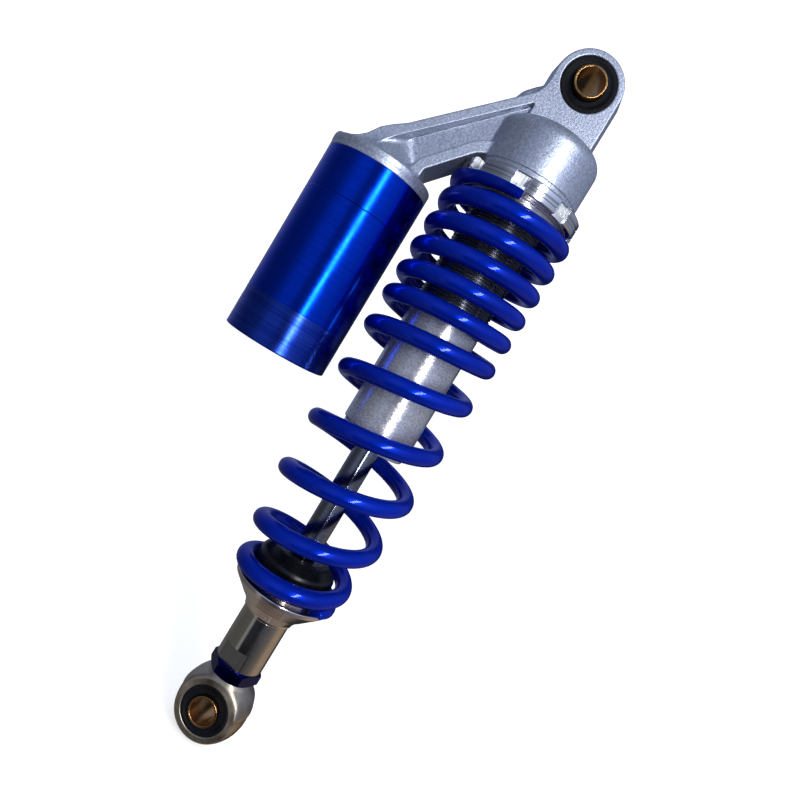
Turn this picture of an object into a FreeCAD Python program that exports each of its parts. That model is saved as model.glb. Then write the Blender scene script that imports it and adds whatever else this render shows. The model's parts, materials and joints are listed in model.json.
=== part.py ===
import FreeCAD, Part
import math
import os

from FreeCAD import Vector

# Rear shock absorber with a piggyback gas reservoir. Millimetres.
# Origin: centre of the upper eye. +Z up along the damper axis, +X away from the reservoir,
# and the upper eye's bore along Y. Everything below the upper eye has a negative Z.

os.makedirs("parts", exist_ok=True)

# Overall length and running clearances
EYE_TO_EYE = 320.0
RUNNING_CLEARANCE = 0.05
SEAL_CLEARANCE = 0.03
SEAT_GAP = 0.10

# How far a cutting tool reaches past the face that it cuts
SPARE = 1.0

# Upper eye: a plate with a round top, thickest across its middle plane as a casting drafts
UPPER_BUSH_RADIUS = 12.1
UPPER_EYE_WALL = 2.9
UPPER_EYE_DRAFT = 1.8
UPPER_PLATE_WIDTH = 22.0
UPPER_SLEEVE_PROUD = 3.0

# Sleeves, the same stock in both eyes
SLEEVE_BORE_RADIUS = 6.0
SLEEVE_WALL = 1.0
SLEEVE_CHAMFER = 0.4
BUSH_RECESS_DEPTH = 1.6
BUSH_RECESS_WIDTH = 2.3
BUSH_RECESS_SLOPE = 1.0

# Cap of the head casting, over the top of the damper tube
CAP_RADIUS = 24.2
CAP_TOP_DROP = 23.5
CAP_HEIGHT = 26.3
CAP_SHOULDER = 8.0
CAP_BAND_HEIGHT = 2.2
CAP_BAND_STEP = 0.35
CAP_ROOF = 6.0
CAP_CHAMBER_STEP = 1.5

# Arm of the head casting, an I section from the cap to the reservoir. Corners near the cap are
# (x, z) from the cap's left side at its top face, corners of the foot from the centre of the
# reservoir cap's top face.
ARM_WIDTH = 22.0
ARM_RECESS = 3.0
ARM_EDGE = 0.8
ARM_TOP_AT_CAP = (-0.2, 1.8)
ARM_TOP_AT_FOOT = (0.9, 16.4)
ARM_FOOT_TOP = [(-3.0, 13.5), (-6.4, 10.6), (-8.2, 8.5), (-9.9, 5.6), (-12.5, 3.1), (-15.1, 0.4)]
ARM_FOOT_RIGHT = (17.7, 5.1)
ARM_LOWER_AT_FOOT = (20.3, 9.2)
ARM_LOWER_AT_CAP = (0.4, -22.7)
POCKET_TOP_AT_FOOT = [(-3.3, 6.0), (1.2, 11.4)]
POCKET_TOP_AT_CAP = (7.0, 2.2)
POCKET_LOW_AT_CAP = (1.2, -19.4)
POCKET_LOW_AT_FOOT = [(16.1, 12.6), (13.1, 7.2), (12.6, 3.4)]
BOSS_AT_CAP = [(9.2, 21.5), (8.3, 15.8), (7.1, 13.3), (4.9, 11.7), (1.9, 8.4), (-0.2, 4.3)]
BOSS_LAP = 1.0
OIL_WAY_RADIUS = 2.0
OIL_WAY_OFFSET = 6.75

# Reservoir
RESERVOIR_OFFSET = 59.2
RESERVOIR_RADIUS = 24.4
RESERVOIR_WALL = 3.4
RESERVOIR_LENGTH = 88.6
RESERVOIR_TOP_DROP = 76.5
RESERVOIR_EDGE = 1.2
RESERVOIR_CAP_HEIGHT = 6.5
RESERVOIR_CAP_SHOULDER = 3.5
RESERVOIR_SPIGOT_LENGTH = 12.0
RESERVOIR_SPIGOT_WALL = 6.0
RESERVOIR_SPIGOT_ROOF = 2.5
FLOATING_PISTON_DROP = 101.0
FLOATING_PISTON_LENGTH = 16.0
FLOATING_PISTON_WALL = 4.0
FLOATING_RING_DROP = 3.4
FLOATING_BAND_DROP = 7.4
FLOATING_BAND_HEIGHT = 5.0
END_CAP_THICKNESS = 10.0
END_CAP_INSET = 3.4
END_CAP_RING_DROP = 3.2
VALVE_BODY_RADIUS = 4.2
VALVE_BODY_FLATS = 7.6
VALVE_BODY_LENGTH = 2.4
VALVE_BORE_RADIUS = 0.9
VALVE_STEM_RADIUS = 2.8
VALVE_STEM_STEP = 0.3
VALVE_STEM_LENGTH = 7.0
VALVE_CAP_RADIUS = 4.0
VALVE_CAP_ROOF = 1.0
VALVE_CAP_CHAMFER = 0.8
VALVE_CAP_FLUTES = 12
VALVE_CAP_FLUTE_RADIUS = 0.5
VALVE_CAP_FLUTE_DEPTH = 0.25
VALVE_WELL_RADIUS = 8.0
VALVE_WELL_DEPTH = 6.0

# Round seals and wire rings
O_RING_WIRE = 2.4
O_RING_SQUASH = 0.25
O_RING_GROOVE = 3.1
CIRCLIP_WIRE = 1.2
CIRCLIP_GAP = 6.0

# Damper tube
TUBE_RADIUS = 17.2
TUBE_WALL = 2.2
TUBE_TOP_DROP = 36.0
TUBE_LENGTH = 144.5
TUBE_NOSE_STEP = 1.0
TUBE_NOSE_LENGTH = 6.0
TUBE_CHAMFER = 0.6
THREAD_PITCH = 1.5
THREAD_DEPTH = 0.7
THREAD_LENGTH = 71.0
THREAD_IN_CAP = 1.0
TUBE_SEAL_DROP = 4.0
TUBE_SEAL_DEPTH = 1.2
TUBE_SEAL_WIDTH = 1.7
TUBE_SEAL_GROOVE = 1.9

# Preload collar and upper spring seat
COLLAR_RADIUS = 29.0
COLLAR_HEIGHT = 6.6
COLLAR_GAP = 1.6
COLLAR_SLOTS = 8
COLLAR_SLOT_WIDTH = 7.4
COLLAR_SLOT_DEPTH = 4.8
COLLAR_SKIN = 0.8
COLLAR_SLOT_TURN = -6.3
COLLAR_GROOVE_DEPTH = 0.45
COLLAR_GROOVE_HEIGHT = 0.7
COLLAR_GROOVE_DROPS = (2.5, 4.3)
COLLAR_CHAMFER = 0.5
COLLAR_RIM = 3.0
COLLAR_PLAY = 0.3
UPPER_SEAT_FLANGE = 1.5
UPPER_SEAT_SPIGOT = 2.4
UPPER_SEAT_SPIGOT_PLAY = 1.4
UPPER_SEAT_CHAMFER = 0.6

# Coil spring, wound right-handed from the front, close coils at the top
SPRING_WIRE = 8.0
SPRING_TURNS = 11.85
SPRING_MEAN_RADIUS = 27.2
SPRING_LAST_RADIUS = 21.5
SPRING_END_PITCH = 8.5
SPRING_CLOSE_PITCH = 12.0
SPRING_OPEN_PITCH = 26.2
SPRING_CLOSING_PITCH = 21.0
SPRING_TOUCH_PITCH = 6.75
SPRING_FOOT_PITCH = 5.4
SPRING_TURNS_AT_END_PITCH = 0.5
SPRING_TURNS_TO_CLOSE_COILS = 0.9
SPRING_TURNS_TO_RAMP = 5.15
SPRING_TURNS_TO_OPEN_COILS = 7.3
SPRING_TURNS_TO_TAPER = 9.3
SPRING_TURNS_TO_LAST_OPEN = 9.9
SPRING_TURNS_TO_CLOSING = 10.7
SPRING_TURNS_TO_TOUCH = 11.3
SPRING_TOP_CUT = 1.0
SPRING_FOOT_CUT = 0.24
SPRING_STEPS_PER_TURN = 4

# Rod, piston and valves
ROD_RADIUS = 6.0
ROD_NECK_RADIUS = 4.0
ROD_CHAMFER = 0.6
ROD_PAST_NUT = 1.2
GUIDE_LENGTH = 20.5
GUIDE_INSET = 0.6
GUIDE_CLEARANCE = 0.2
GUIDE_RING_DROP = 6.0
GUIDE_CLIP_RISE = 2.4
GUIDE_BUSH_WALL = 1.5
GUIDE_BUSH_LENGTH = 10.0
GUIDE_BUSH_INSET = 1.0
ROD_SEAL_WALL = 4.0
ROD_SEAL_LENGTH = 4.5
ROD_SEAL_SPACING = 1.2
WIPER_WALL = 3.0
WIPER_LENGTH = 3.5
WIPER_LIP_LENGTH = 1.2
WIPER_LIP_WIDTH = 0.8
TOP_OUT_LENGTH = 7.4
TOP_OUT_WALL = 3.4
PISTON_LENGTH = 12.0
PISTON_PORTS = 6
PISTON_PORT_RADIUS = 1.6
PISTON_PORT_CIRCLE = 9.3
PISTON_BAND_HEIGHT = 6.0
PISTON_BAND_THICKNESS = 1.2
SHIM_COUNT = 5
SHIM_THICKNESS = 0.3
SHIM_RADIUS = 12.0
SHIM_RADIUS_STEP = 1.0
PISTON_WASHER_RADIUS = 7.5
PISTON_WASHER_THICKNESS = 1.5
PISTON_NUT_FLATS = 13.0
PISTON_NUT_HEIGHT = 6.5

# Lower spring seat, bump stop and barrel
LOWER_SEAT_RADIUS = 23.6
LOWER_SEAT_LIP = 2.0
LOWER_SEAT_WAIST_RADIUS = 16.2
LOWER_SEAT_WAIST_DROP = 9.4
LOWER_SEAT_STEP = 0.9
LOWER_SEAT_HUB_RADIUS = 12.2
LOWER_SEAT_HUB_DROP = 14.2
LOWER_SEAT_HEIGHT = 15.2
LOWER_SEAT_EDGE = 0.5
LOWER_SEAT_SPIGOT = 4.0
LOWER_SEAT_SPIGOT_PLAY = 0.3
LOWER_SEAT_SPIGOT_CHAMFER = 1.0
LOWER_SEAT_ROOF = 1.8
BUMP_STOP_FLANGE_RADIUS = 18.6
BUMP_STOP_FLANGE = 8.6
BUMP_STOP_FLANGE_FOOT = 1.4
BUMP_STOP_FLANGE_EDGE = 0.5
BUMP_STOP_BODY = [
    (14.5, 0.0), (14.5, 1.5), (12.6, 2.8), (14.5, 4.0), (14.5, 5.7), (12.6, 7.6), (10.0, 8.6),
]
BARREL_RADIUS = 11.1
BARREL_NECK_RADIUS = 9.0
BARREL_LENGTH = 26.2
BARREL_FLATS = 19.0
BARREL_FLAT_LENGTH = 9.0
BARREL_FLAT_TURN = -21.6
BARREL_CHAMFER = 0.5
ROD_THREAD_DEPTH = 5.5
STUD_RADIUS = 6.0
STUD_LENGTH = 14.0
STUD_BORE_SPARE = 1.5

# Jam nut and lower eye
JAM_NUT_FLATS = 22.0
JAM_NUT_HEIGHT = 6.2
JAM_NUT_TURN = 25.0
HEXAGON_CHAMFER = 30.0
LOWER_BUSH_RADIUS = 11.6
LOWER_EYE_WALL = 3.1
LOWER_EYE_CROWN = 1.8
LOWER_EYE_WIDTH = 19.5
LOWER_EYE_TURN = -11.0
LOWER_SLEEVE_PROUD = 1.75
NECK_HEIGHT = 17.0
NECK_RADIUS = 10.3
NECK_WAIST = (1.8, 3.8)
NECK_EDGE = (0.8, 2.0)
NECK_ROOT_ANGLE = 21.2
NECK_BULGE_ANGLE = 34.8
NECK_BULGE = 0.65
NECK_INSET = 0.45
NECK_REACH = 4.0

# Radii and lengths worked out from the sizes above
SLEEVE_RADIUS = SLEEVE_BORE_RADIUS + SLEEVE_WALL
BUSH_LIP_RADIUS = SLEEVE_RADIUS + BUSH_RECESS_WIDTH
UPPER_PLATE_FACE_RADIUS = UPPER_BUSH_RADIUS + UPPER_EYE_WALL
UPPER_PLATE_RADIUS = UPPER_PLATE_FACE_RADIUS + UPPER_EYE_DRAFT
UPPER_SLEEVE_LENGTH = UPPER_PLATE_WIDTH + UPPER_SLEEVE_PROUD * 2
LOWER_EYE_FACE_RADIUS = LOWER_BUSH_RADIUS + LOWER_EYE_WALL
LOWER_EYE_RADIUS = LOWER_EYE_FACE_RADIUS + LOWER_EYE_CROWN
LOWER_SLEEVE_LENGTH = LOWER_EYE_WIDTH + LOWER_SLEEVE_PROUD * 2
RESERVOIR_BORE_RADIUS = RESERVOIR_RADIUS - RESERVOIR_WALL
TUBE_BORE_RADIUS = TUBE_RADIUS - TUBE_WALL
TUBE_NOSE_RADIUS = TUBE_RADIUS - TUBE_NOSE_STEP
COLLAR_SLOT_FLOOR = COLLAR_RADIUS - COLLAR_SLOT_DEPTH
UPPER_SEAT_FLANGE_RADIUS = COLLAR_RADIUS - COLLAR_RIM
UPPER_SEAT_SPIGOT_RADIUS = SPRING_MEAN_RADIUS - SPRING_WIRE / 2 - UPPER_SEAT_SPIGOT_PLAY
LOWER_SEAT_SPIGOT_RADIUS = SPRING_LAST_RADIUS - SPRING_WIRE / 2 - LOWER_SEAT_SPIGOT_PLAY
BUMP_STOP_HEIGHT = BUMP_STOP_FLANGE + BUMP_STOP_BODY[-1][1]

# Places worked out from the sizes above, as heights on the damper axis
CAP_TOP = -CAP_TOP_DROP
CAP_RIM = CAP_TOP - CAP_HEIGHT
COLLAR_TOP = CAP_RIM - COLLAR_GAP
SPRING_TOP = COLLAR_TOP - COLLAR_HEIGHT
TUBE_TOP = -TUBE_TOP_DROP
TUBE_END = TUBE_TOP - TUBE_LENGTH
GUIDE_BOTTOM = TUBE_END + GUIDE_INSET
GUIDE_TOP = GUIDE_BOTTOM + GUIDE_LENGTH
ROD_SHOULDER = GUIDE_TOP + SEAT_GAP + TOP_OUT_LENGTH
RESERVOIR_TOP = -RESERVOIR_TOP_DROP
RESERVOIR_END = RESERVOIR_TOP - RESERVOIR_LENGTH
RESERVOIR_CAP_TOP = RESERVOIR_TOP + RESERVOIR_CAP_HEIGHT
EYE_CENTRE = -EYE_TO_EYE
EYE_NECK_TOP = EYE_CENTRE + NECK_HEIGHT
NUT_BOTTOM = EYE_NECK_TOP + SEAT_GAP
NUT_TOP = NUT_BOTTOM + JAM_NUT_HEIGHT
BARREL_BOTTOM = NUT_TOP + SEAT_GAP
BARREL_SHOULDER = BARREL_BOTTOM + BARREL_LENGTH
SPRING_FOOT = BARREL_SHOULDER + LOWER_SEAT_HEIGHT
LOWER_SEAT_TOP = SPRING_FOOT + LOWER_SEAT_SPIGOT
BUMP_STOP_TOP = LOWER_SEAT_TOP + BUMP_STOP_HEIGHT
BARREL_NECK_TOP = LOWER_SEAT_TOP - LOWER_SEAT_ROOF
ROD_END = BARREL_SHOULDER - ROD_THREAD_DEPTH

AXIS_Z = Vector(0, 0, 1)
AXIS_Y = Vector(0, 1, 0)
ORIGIN = Vector(0, 0, 0)
RESERVOIR_CENTRE = Vector(-RESERVOIR_OFFSET, 0, 0)


# Shape helpers

def disc(radius, low, high, x=0.0):
    return Part.makeCylinder(radius, high - low, Vector(x, 0, low), AXIS_Z)


def ring(outer, inner, low, high, x=0.0):
    return disc(outer, low, high, x).cut(disc(inner, low - SPARE, high + SPARE, x))


def turned(points, x=0.0):
    """Solid of revolution about a vertical axis at x, from (radius, height) points."""
    outline = [Vector(x + r, 0, z) for r, z in points]
    outline.append(outline[0])
    face = Part.Face(Part.makePolygon(outline))
    return face.revolve(Vector(x, 0, 0), AXIS_Z, 360)


def torus_ring(centre_radius, wire, height, x=0.0):
    return Part.makeTorus(centre_radius, wire / 2, Vector(x, 0, height), AXIS_Z)


def plate(points, width):
    """Flat plate from (x, z) corners, centred on the plane y = 0."""
    outline = [Vector(px, -width / 2, pz) for px, pz in points]
    outline.append(outline[0])
    return Part.Face(Part.makePolygon(outline)).extrude(Vector(0, width, 0))


def hexagon(flats, low, high, turn):
    corner = flats / math.sqrt(3)
    angles = [math.radians(turn - 90 + 60 * i) for i in range(6)]
    corners = [Vector(corner * math.cos(a), corner * math.sin(a), low) for a in angles]
    corners.append(corners[0])
    return Part.Face(Part.makePolygon(corners)).extrude(Vector(0, 0, high - low))


def chamfered_hexagon(flats, low, high, turn):
    """Hexagon whose corners are turned off to the flats' circle at both faces."""
    corner = flats / math.sqrt(3)
    slope = (corner - flats / 2) * math.tan(math.radians(HEXAGON_CHAMFER))
    guard = turned([
        (0, low), (flats / 2, low), (corner, low + slope),
        (corner, high - slope), (flats / 2, high), (0, high),
    ])
    return hexagon(flats, low, high, turn).common(guard)


def cylinder_y(radius, width, height, x=0.0):
    return Part.makeCylinder(radius, width, Vector(x, -width / 2, height), AXIS_Y)


def turned_y(points, height):
    """Solid of revolution about a bore axis along Y at the given height, from (radius, y) points."""
    outline = [Vector(0, y, height + r) for r, y in points]
    outline.append(outline[0])
    return Part.Face(Part.makePolygon(outline)).revolve(Vector(0, 0, height), AXIS_Y, 360)


def save(name, shape):
    solids = shape.Solids
    clean = solids[0] if len(solids) == 1 else Part.makeCompound(solids)
    clean.exportStep("parts/" + name + ".step")
    print(name, len(solids), "solids", round(clean.Volume, 1), "mm3", clean.isValid())


# Bushes and sleeves

def sleeve(length, height):
    half = length / 2
    inner, outer, c = SLEEVE_BORE_RADIUS, SLEEVE_RADIUS, SLEEVE_CHAMFER
    return turned_y([
        (inner + c / 2, -half), (outer - c, -half), (outer, -half + c),
        (outer, half - c), (outer - c, half), (inner + c / 2, half),
        (inner, half - c), (inner, -half + c),
    ], height)


def bush(radius, width, height):
    """Rubber bush with a recessed ring round the sleeve on both faces."""
    half = width / 2
    inner = SLEEVE_RADIUS + RUNNING_CLEARANCE
    floor = half - BUSH_RECESS_DEPTH
    lip = BUSH_LIP_RADIUS
    edge = lip + BUSH_RECESS_SLOPE
    return turned_y([
        (inner, -floor), (lip, -floor), (edge, -half), (radius, -half),
        (radius, half), (edge, half), (lip, floor), (inner, floor),
    ], height)


# Head casting

def plate_outline(radius, y):
    """Outline of the eye plate at one depth: a half circle and two straight sides."""
    foot = CAP_TOP - CAP_ROOF / 2
    left, right = Vector(-radius, y, 0), Vector(radius, y, 0)
    top = Part.Arc(left, Vector(0, y, radius), right).toShape()
    sides = Part.makePolygon([right, Vector(radius, y, foot), Vector(-radius, y, foot), left])
    return Part.Wire([top] + sides.Edges)


def upper_plate():
    """Eye plate whose sides draft both ways from the middle plane."""
    half = UPPER_PLATE_WIDTH / 2
    faces = [plate_outline(UPPER_PLATE_FACE_RADIUS, -half), plate_outline(UPPER_PLATE_RADIUS, 0),
             plate_outline(UPPER_PLATE_FACE_RADIUS, half)]
    return Part.makeLoft(faces, True, True)


def cap_body():
    r, s = CAP_RADIUS, CAP_SHOULDER
    band = CAP_RIM + CAP_BAND_HEIGHT
    arc_mid = (r - s + s * math.sin(math.pi / 4), CAP_TOP - s + s * math.cos(math.pi / 4))
    lines = Part.makePolygon([
        Vector(r, 0, CAP_TOP - s), Vector(r, 0, band), Vector(r - CAP_BAND_STEP, 0, band),
        Vector(r - CAP_BAND_STEP, 0, CAP_RIM), Vector(0, 0, CAP_RIM), Vector(0, 0, CAP_TOP),
        Vector(r - s, 0, CAP_TOP),
    ])
    shoulder = Part.Arc(
        Vector(r - s, 0, CAP_TOP), Vector(arc_mid[0], 0, arc_mid[1]), Vector(r, 0, CAP_TOP - s)
    ).toShape()
    return Part.Face(Part.Wire(lines.Edges + [shoulder])).revolve(ORIGIN, AXIS_Z, 360)


def at_cap(corner):
    """Place of a corner given from the cap's left side at its top face."""
    return (corner[0] - CAP_RADIUS, corner[1] + CAP_TOP)


def at_foot(corner):
    """Place of a corner given from the centre of the reservoir cap's top face."""
    return (corner[0] - RESERVOIR_OFFSET, corner[1] + RESERVOIR_CAP_TOP)


def arm_outline(inner, foot):
    """Outline of the arm, from its upper edge round the foot and back along its lower edge."""
    top_start, top_end = at_cap(ARM_TOP_AT_CAP), at_foot(ARM_TOP_AT_FOOT)
    slope = (top_start[1] - top_end[1]) / (top_start[0] - top_end[0])
    start = (inner, top_start[1] + (inner - top_start[0]) * slope)
    foot_top = [at_foot(corner) for corner in ARM_FOOT_TOP]
    right = at_foot(ARM_FOOT_RIGHT)
    return [start, top_end] + foot_top + [
        (foot_top[-1][0], foot), (right[0], foot), right,
        at_foot(ARM_LOWER_AT_FOOT), at_cap(ARM_LOWER_AT_CAP), (inner, CAP_TOP - CAP_HEIGHT / 2),
    ]


def pocket_outline():
    """Outline of the recess in each face of the arm. It runs on under the cap."""
    top = at_cap(POCKET_TOP_AT_CAP)
    low = at_cap(POCKET_LOW_AT_CAP)
    left = [at_foot(corner) for corner in POCKET_TOP_AT_FOOT]
    right = [at_foot(corner) for corner in POCKET_LOW_AT_FOOT]
    return left + [top, (0.0, top[1]), (0.0, low[1]), low] + right + [(left[0][0], right[-1][1])]


def arm_body():
    """I-section arm: a plate with a recess in each face, and a foot that spreads on the reservoir cap."""
    foot = RESERVOIR_CAP_TOP - RESERVOIR_CAP_SHOULDER / 2
    arm = plate(arm_outline(-UPPER_PLATE_FACE_RADIUS, foot), ARM_WIDTH)
    first = at_foot(ARM_FOOT_TOP[3])[0] - ARM_EDGE
    last = at_cap(ARM_TOP_AT_CAP)[0]
    edges = [
        e for e in arm.Edges
        if abs(abs(e.CenterOfMass.y) - ARM_WIDTH / 2) < ARM_EDGE / 10
        and first < e.CenterOfMass.x < last and e.CenterOfMass.z > foot + ARM_EDGE
    ]
    arm = arm.makeFillet(ARM_EDGE, edges)
    recess = plate(pocket_outline(), ARM_RECESS)
    for side in (-1, 1):
        shift = side * (ARM_WIDTH - ARM_RECESS) / 2
        arm = arm.cut(recess.translated(Vector(0, shift, 0)))
    return arm


def oil_boss():
    """Cast boss at the arm's upper end, beside the eye plate and flush with its faces."""
    inner = BOSS_LAP - UPPER_PLATE_FACE_RADIUS
    outline = [at_cap(corner) for corner in BOSS_AT_CAP]
    top, low = outline[0][1], CAP_TOP - CAP_SHOULDER / 2
    return plate(outline + [(outline[-1][0], low), (inner, low), (inner, top)], ARM_WIDTH)


def reservoir_cap_body():
    x, r, s = -RESERVOIR_OFFSET, RESERVOIR_RADIUS, RESERVOIR_CAP_SHOULDER
    top = RESERVOIR_CAP_TOP
    arc_mid = Vector(x + r - s + s * math.sin(math.pi / 4), 0, top - s + s * math.cos(math.pi / 4))
    lines = Part.makePolygon([
        Vector(x + r, 0, top - s), Vector(x + r, 0, RESERVOIR_TOP), Vector(x, 0, RESERVOIR_TOP),
        Vector(x, 0, top), Vector(x + r - s, 0, top),
    ])
    shoulder = Part.Arc(Vector(x + r - s, 0, top), arc_mid, Vector(x + r, 0, top - s)).toShape()
    body = Part.Face(Part.Wire(lines.Edges + [shoulder])).revolve(RESERVOIR_CENTRE, AXIS_Z, 360)
    spigot = disc(
        RESERVOIR_BORE_RADIUS, RESERVOIR_TOP - RESERVOIR_SPIGOT_LENGTH, RESERVOIR_TOP + SPARE, x
    )
    return body.fuse(spigot)


def o_ring_groove(bore, height, x=0.0):
    """Tool that cuts a groove for an O-ring in a shaft that fits the bore."""
    depth = O_RING_WIRE - O_RING_SQUASH
    half = O_RING_GROOVE / 2
    return ring(bore + SPARE, bore - depth, height - half, height + half, x)


def o_ring(bore, height, x=0.0):
    """O-ring in its groove, pressed to the bore."""
    depth = O_RING_WIRE - O_RING_SQUASH
    half = O_RING_WIRE / 2
    body = torus_ring(bore - depth / 2, O_RING_WIRE, height, x)
    return body.common(ring(bore, bore - depth, height - half, height + half, x))


RESERVOIR_RING_HEIGHT = RESERVOIR_TOP - RESERVOIR_SPIGOT_LENGTH / 2
TUBE_RING_HEIGHT = TUBE_TOP - TUBE_SEAL_DROP


def oil_way(chamber_top, roof):
    """Drilling through the arm, from the reservoir's chamber to the one over the tube."""
    start = Vector(-RESERVOIR_OFFSET - OIL_WAY_OFFSET, 0, chamber_top - OIL_WAY_RADIUS)
    end = Vector(-UPPER_BUSH_RADIUS, 0, roof + OIL_WAY_RADIUS / 2)
    return Part.makeCylinder(OIL_WAY_RADIUS, (end - start).Length, start, end - start)


def head_casting():
    body = cap_body().fuse([arm_body(), upper_plate(), oil_boss(), reservoir_cap_body()])
    body = body.removeSplitter()
    body = body.cut(cylinder_y(UPPER_BUSH_RADIUS, max(UPPER_PLATE_WIDTH, ARM_WIDTH) + SPARE * 2, 0.0))
    roof = CAP_TOP - CAP_ROOF
    body = body.cut(disc(TUBE_RADIUS, CAP_RIM - SPARE, TUBE_TOP))
    body = body.cut(disc(TUBE_BORE_RADIUS - CAP_CHAMBER_STEP, TUBE_TOP - SPARE, roof))
    x = -RESERVOIR_OFFSET
    chamber_top = RESERVOIR_TOP + RESERVOIR_SPIGOT_ROOF
    chamber_radius = RESERVOIR_BORE_RADIUS - RESERVOIR_SPIGOT_WALL
    spigot_end = RESERVOIR_TOP - RESERVOIR_SPIGOT_LENGTH
    body = body.cut(disc(chamber_radius, spigot_end - SPARE, chamber_top, x))
    body = body.cut(o_ring_groove(RESERVOIR_BORE_RADIUS, RESERVOIR_RING_HEIGHT, x))
    return body.cut(oil_way(chamber_top, roof))


# Damper tube and rod guide

def damper_tube():
    r, root = TUBE_RADIUS, TUBE_RADIUS - THREAD_DEPTH
    thread_top = CAP_RIM + THREAD_IN_CAP
    profile = [(TUBE_BORE_RADIUS, TUBE_TOP), (r, TUBE_TOP), (r, thread_top)]
    for i in range(int(THREAD_LENGTH / THREAD_PITCH)):
        z = thread_top - i * THREAD_PITCH
        profile += [(root, z - THREAD_PITCH / 2), (r, z - THREAD_PITCH)]
    nose = TUBE_END + TUBE_NOSE_LENGTH
    profile += [
        (r, nose + TUBE_NOSE_STEP), (TUBE_NOSE_RADIUS, nose), (TUBE_NOSE_RADIUS, TUBE_END + TUBE_CHAMFER),
        (TUBE_NOSE_RADIUS - TUBE_CHAMFER, TUBE_END), (TUBE_BORE_RADIUS, TUBE_END),
    ]
    tube = turned(profile).cut(tube_seal(TUBE_SEAL_GROOVE, SPARE))
    return tube.cut(clip_groove(TUBE_BORE_RADIUS, GUIDE_CLIP_HEIGHT))


def tube_seal(width, spare):
    """Square ring in the tube's outside, against the head casting, or the tool for its groove."""
    low, high = TUBE_RING_HEIGHT - width / 2, TUBE_RING_HEIGHT + width / 2
    return ring(TUBE_RADIUS + spare, TUBE_RADIUS - TUBE_SEAL_DEPTH, low, high)


GUIDE_RING_HEIGHT = GUIDE_TOP - GUIDE_RING_DROP
GUIDE_CLIP_HEIGHT = GUIDE_BOTTOM + GUIDE_CLIP_RISE
SEAL_BOTTOM = GUIDE_BOTTOM + WIPER_LENGTH + ROD_SEAL_SPACING
SEAL_TOP = SEAL_BOTTOM + ROD_SEAL_LENGTH
BUSH_TOP = GUIDE_TOP - GUIDE_BUSH_INSET
BUSH_BOTTOM = BUSH_TOP - GUIDE_BUSH_LENGTH


def clip_groove(bore, height, x=0.0):
    """Tool for the half-round grooves that a wire ring fills on both sides of a bore."""
    return torus_ring(bore, CIRCLIP_WIRE, height, x)


def circlip(bore, height, x=0.0):
    """Wire ring with a gap for the pliers, half of it in the bore's wall."""
    corner = Vector(x, -CIRCLIP_GAP / 2, height - CIRCLIP_WIRE)
    gap = Part.makeBox(bore + CIRCLIP_WIRE, CIRCLIP_GAP, CIRCLIP_WIRE * 2, corner)
    return torus_ring(bore, CIRCLIP_WIRE, height, x).cut(gap)


def rod_guide():
    body = ring(TUBE_BORE_RADIUS, ROD_RADIUS + GUIDE_CLEARANCE, GUIDE_BOTTOM, GUIDE_TOP)
    body = body.cut(o_ring_groove(TUBE_BORE_RADIUS, GUIDE_RING_HEIGHT))
    body = body.cut(clip_groove(TUBE_BORE_RADIUS, GUIDE_CLIP_HEIGHT))
    body = body.cut(disc(ROD_RADIUS + WIPER_WALL, GUIDE_BOTTOM - SPARE, GUIDE_BOTTOM + WIPER_LENGTH))
    body = body.cut(disc(ROD_RADIUS + ROD_SEAL_WALL, SEAL_BOTTOM, SEAL_TOP))
    return body.cut(disc(ROD_RADIUS + GUIDE_BUSH_WALL, BUSH_BOTTOM, GUIDE_TOP + SPARE))


def dust_wiper():
    inner = ROD_RADIUS + SEAL_CLEARANCE
    outer = ROD_RADIUS + WIPER_WALL
    low, high = GUIDE_BOTTOM, GUIDE_BOTTOM + WIPER_LENGTH
    lip = low - WIPER_LIP_LENGTH
    return turned([
        (inner, lip), (inner + WIPER_LIP_WIDTH, lip), (inner + WIPER_LIP_WIDTH * 2, low), (outer, low),
        (outer, high), (inner, high),
    ])


# Reservoir

def reservoir_tube():
    r, b, x = RESERVOIR_RADIUS, RESERVOIR_BORE_RADIUS, -RESERVOIR_OFFSET
    e = RESERVOIR_EDGE
    middle = e * (1 - math.cos(math.pi / 4))
    tube = turned([
        (b, RESERVOIR_TOP), (r, RESERVOIR_TOP), (r, RESERVOIR_END + e),
        (r - middle, RESERVOIR_END + middle), (r - e, RESERVOIR_END), (b, RESERVOIR_END),
    ], x)
    return tube.cut(clip_groove(b, END_CLIP_HEIGHT, x))


def floating_piston():
    """Cup piston, open towards the gas."""
    x = -RESERVOIR_OFFSET
    top = -FLOATING_PISTON_DROP
    bottom = top - FLOATING_PISTON_LENGTH
    radius = RESERVOIR_BORE_RADIUS - RUNNING_CLEARANCE
    body = disc(radius, bottom, top, x)
    body = body.cut(disc(radius - FLOATING_PISTON_WALL, bottom - SPARE, top - FLOATING_PISTON_WALL, x))
    body = body.cut(o_ring_groove(radius, FLOATING_RING_HEIGHT, x))
    return body.cut(floating_band_space(SPARE))


FLOATING_RING_HEIGHT = -FLOATING_PISTON_DROP - FLOATING_RING_DROP
FLOATING_BAND_TOP = -FLOATING_PISTON_DROP - FLOATING_BAND_DROP


def floating_band_space(spare):
    radius = RESERVOIR_BORE_RADIUS - RUNNING_CLEARANCE
    inner = radius - PISTON_BAND_THICKNESS
    low = FLOATING_BAND_TOP - FLOATING_BAND_HEIGHT
    return ring(radius + spare, inner, low, FLOATING_BAND_TOP, -RESERVOIR_OFFSET)


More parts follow.
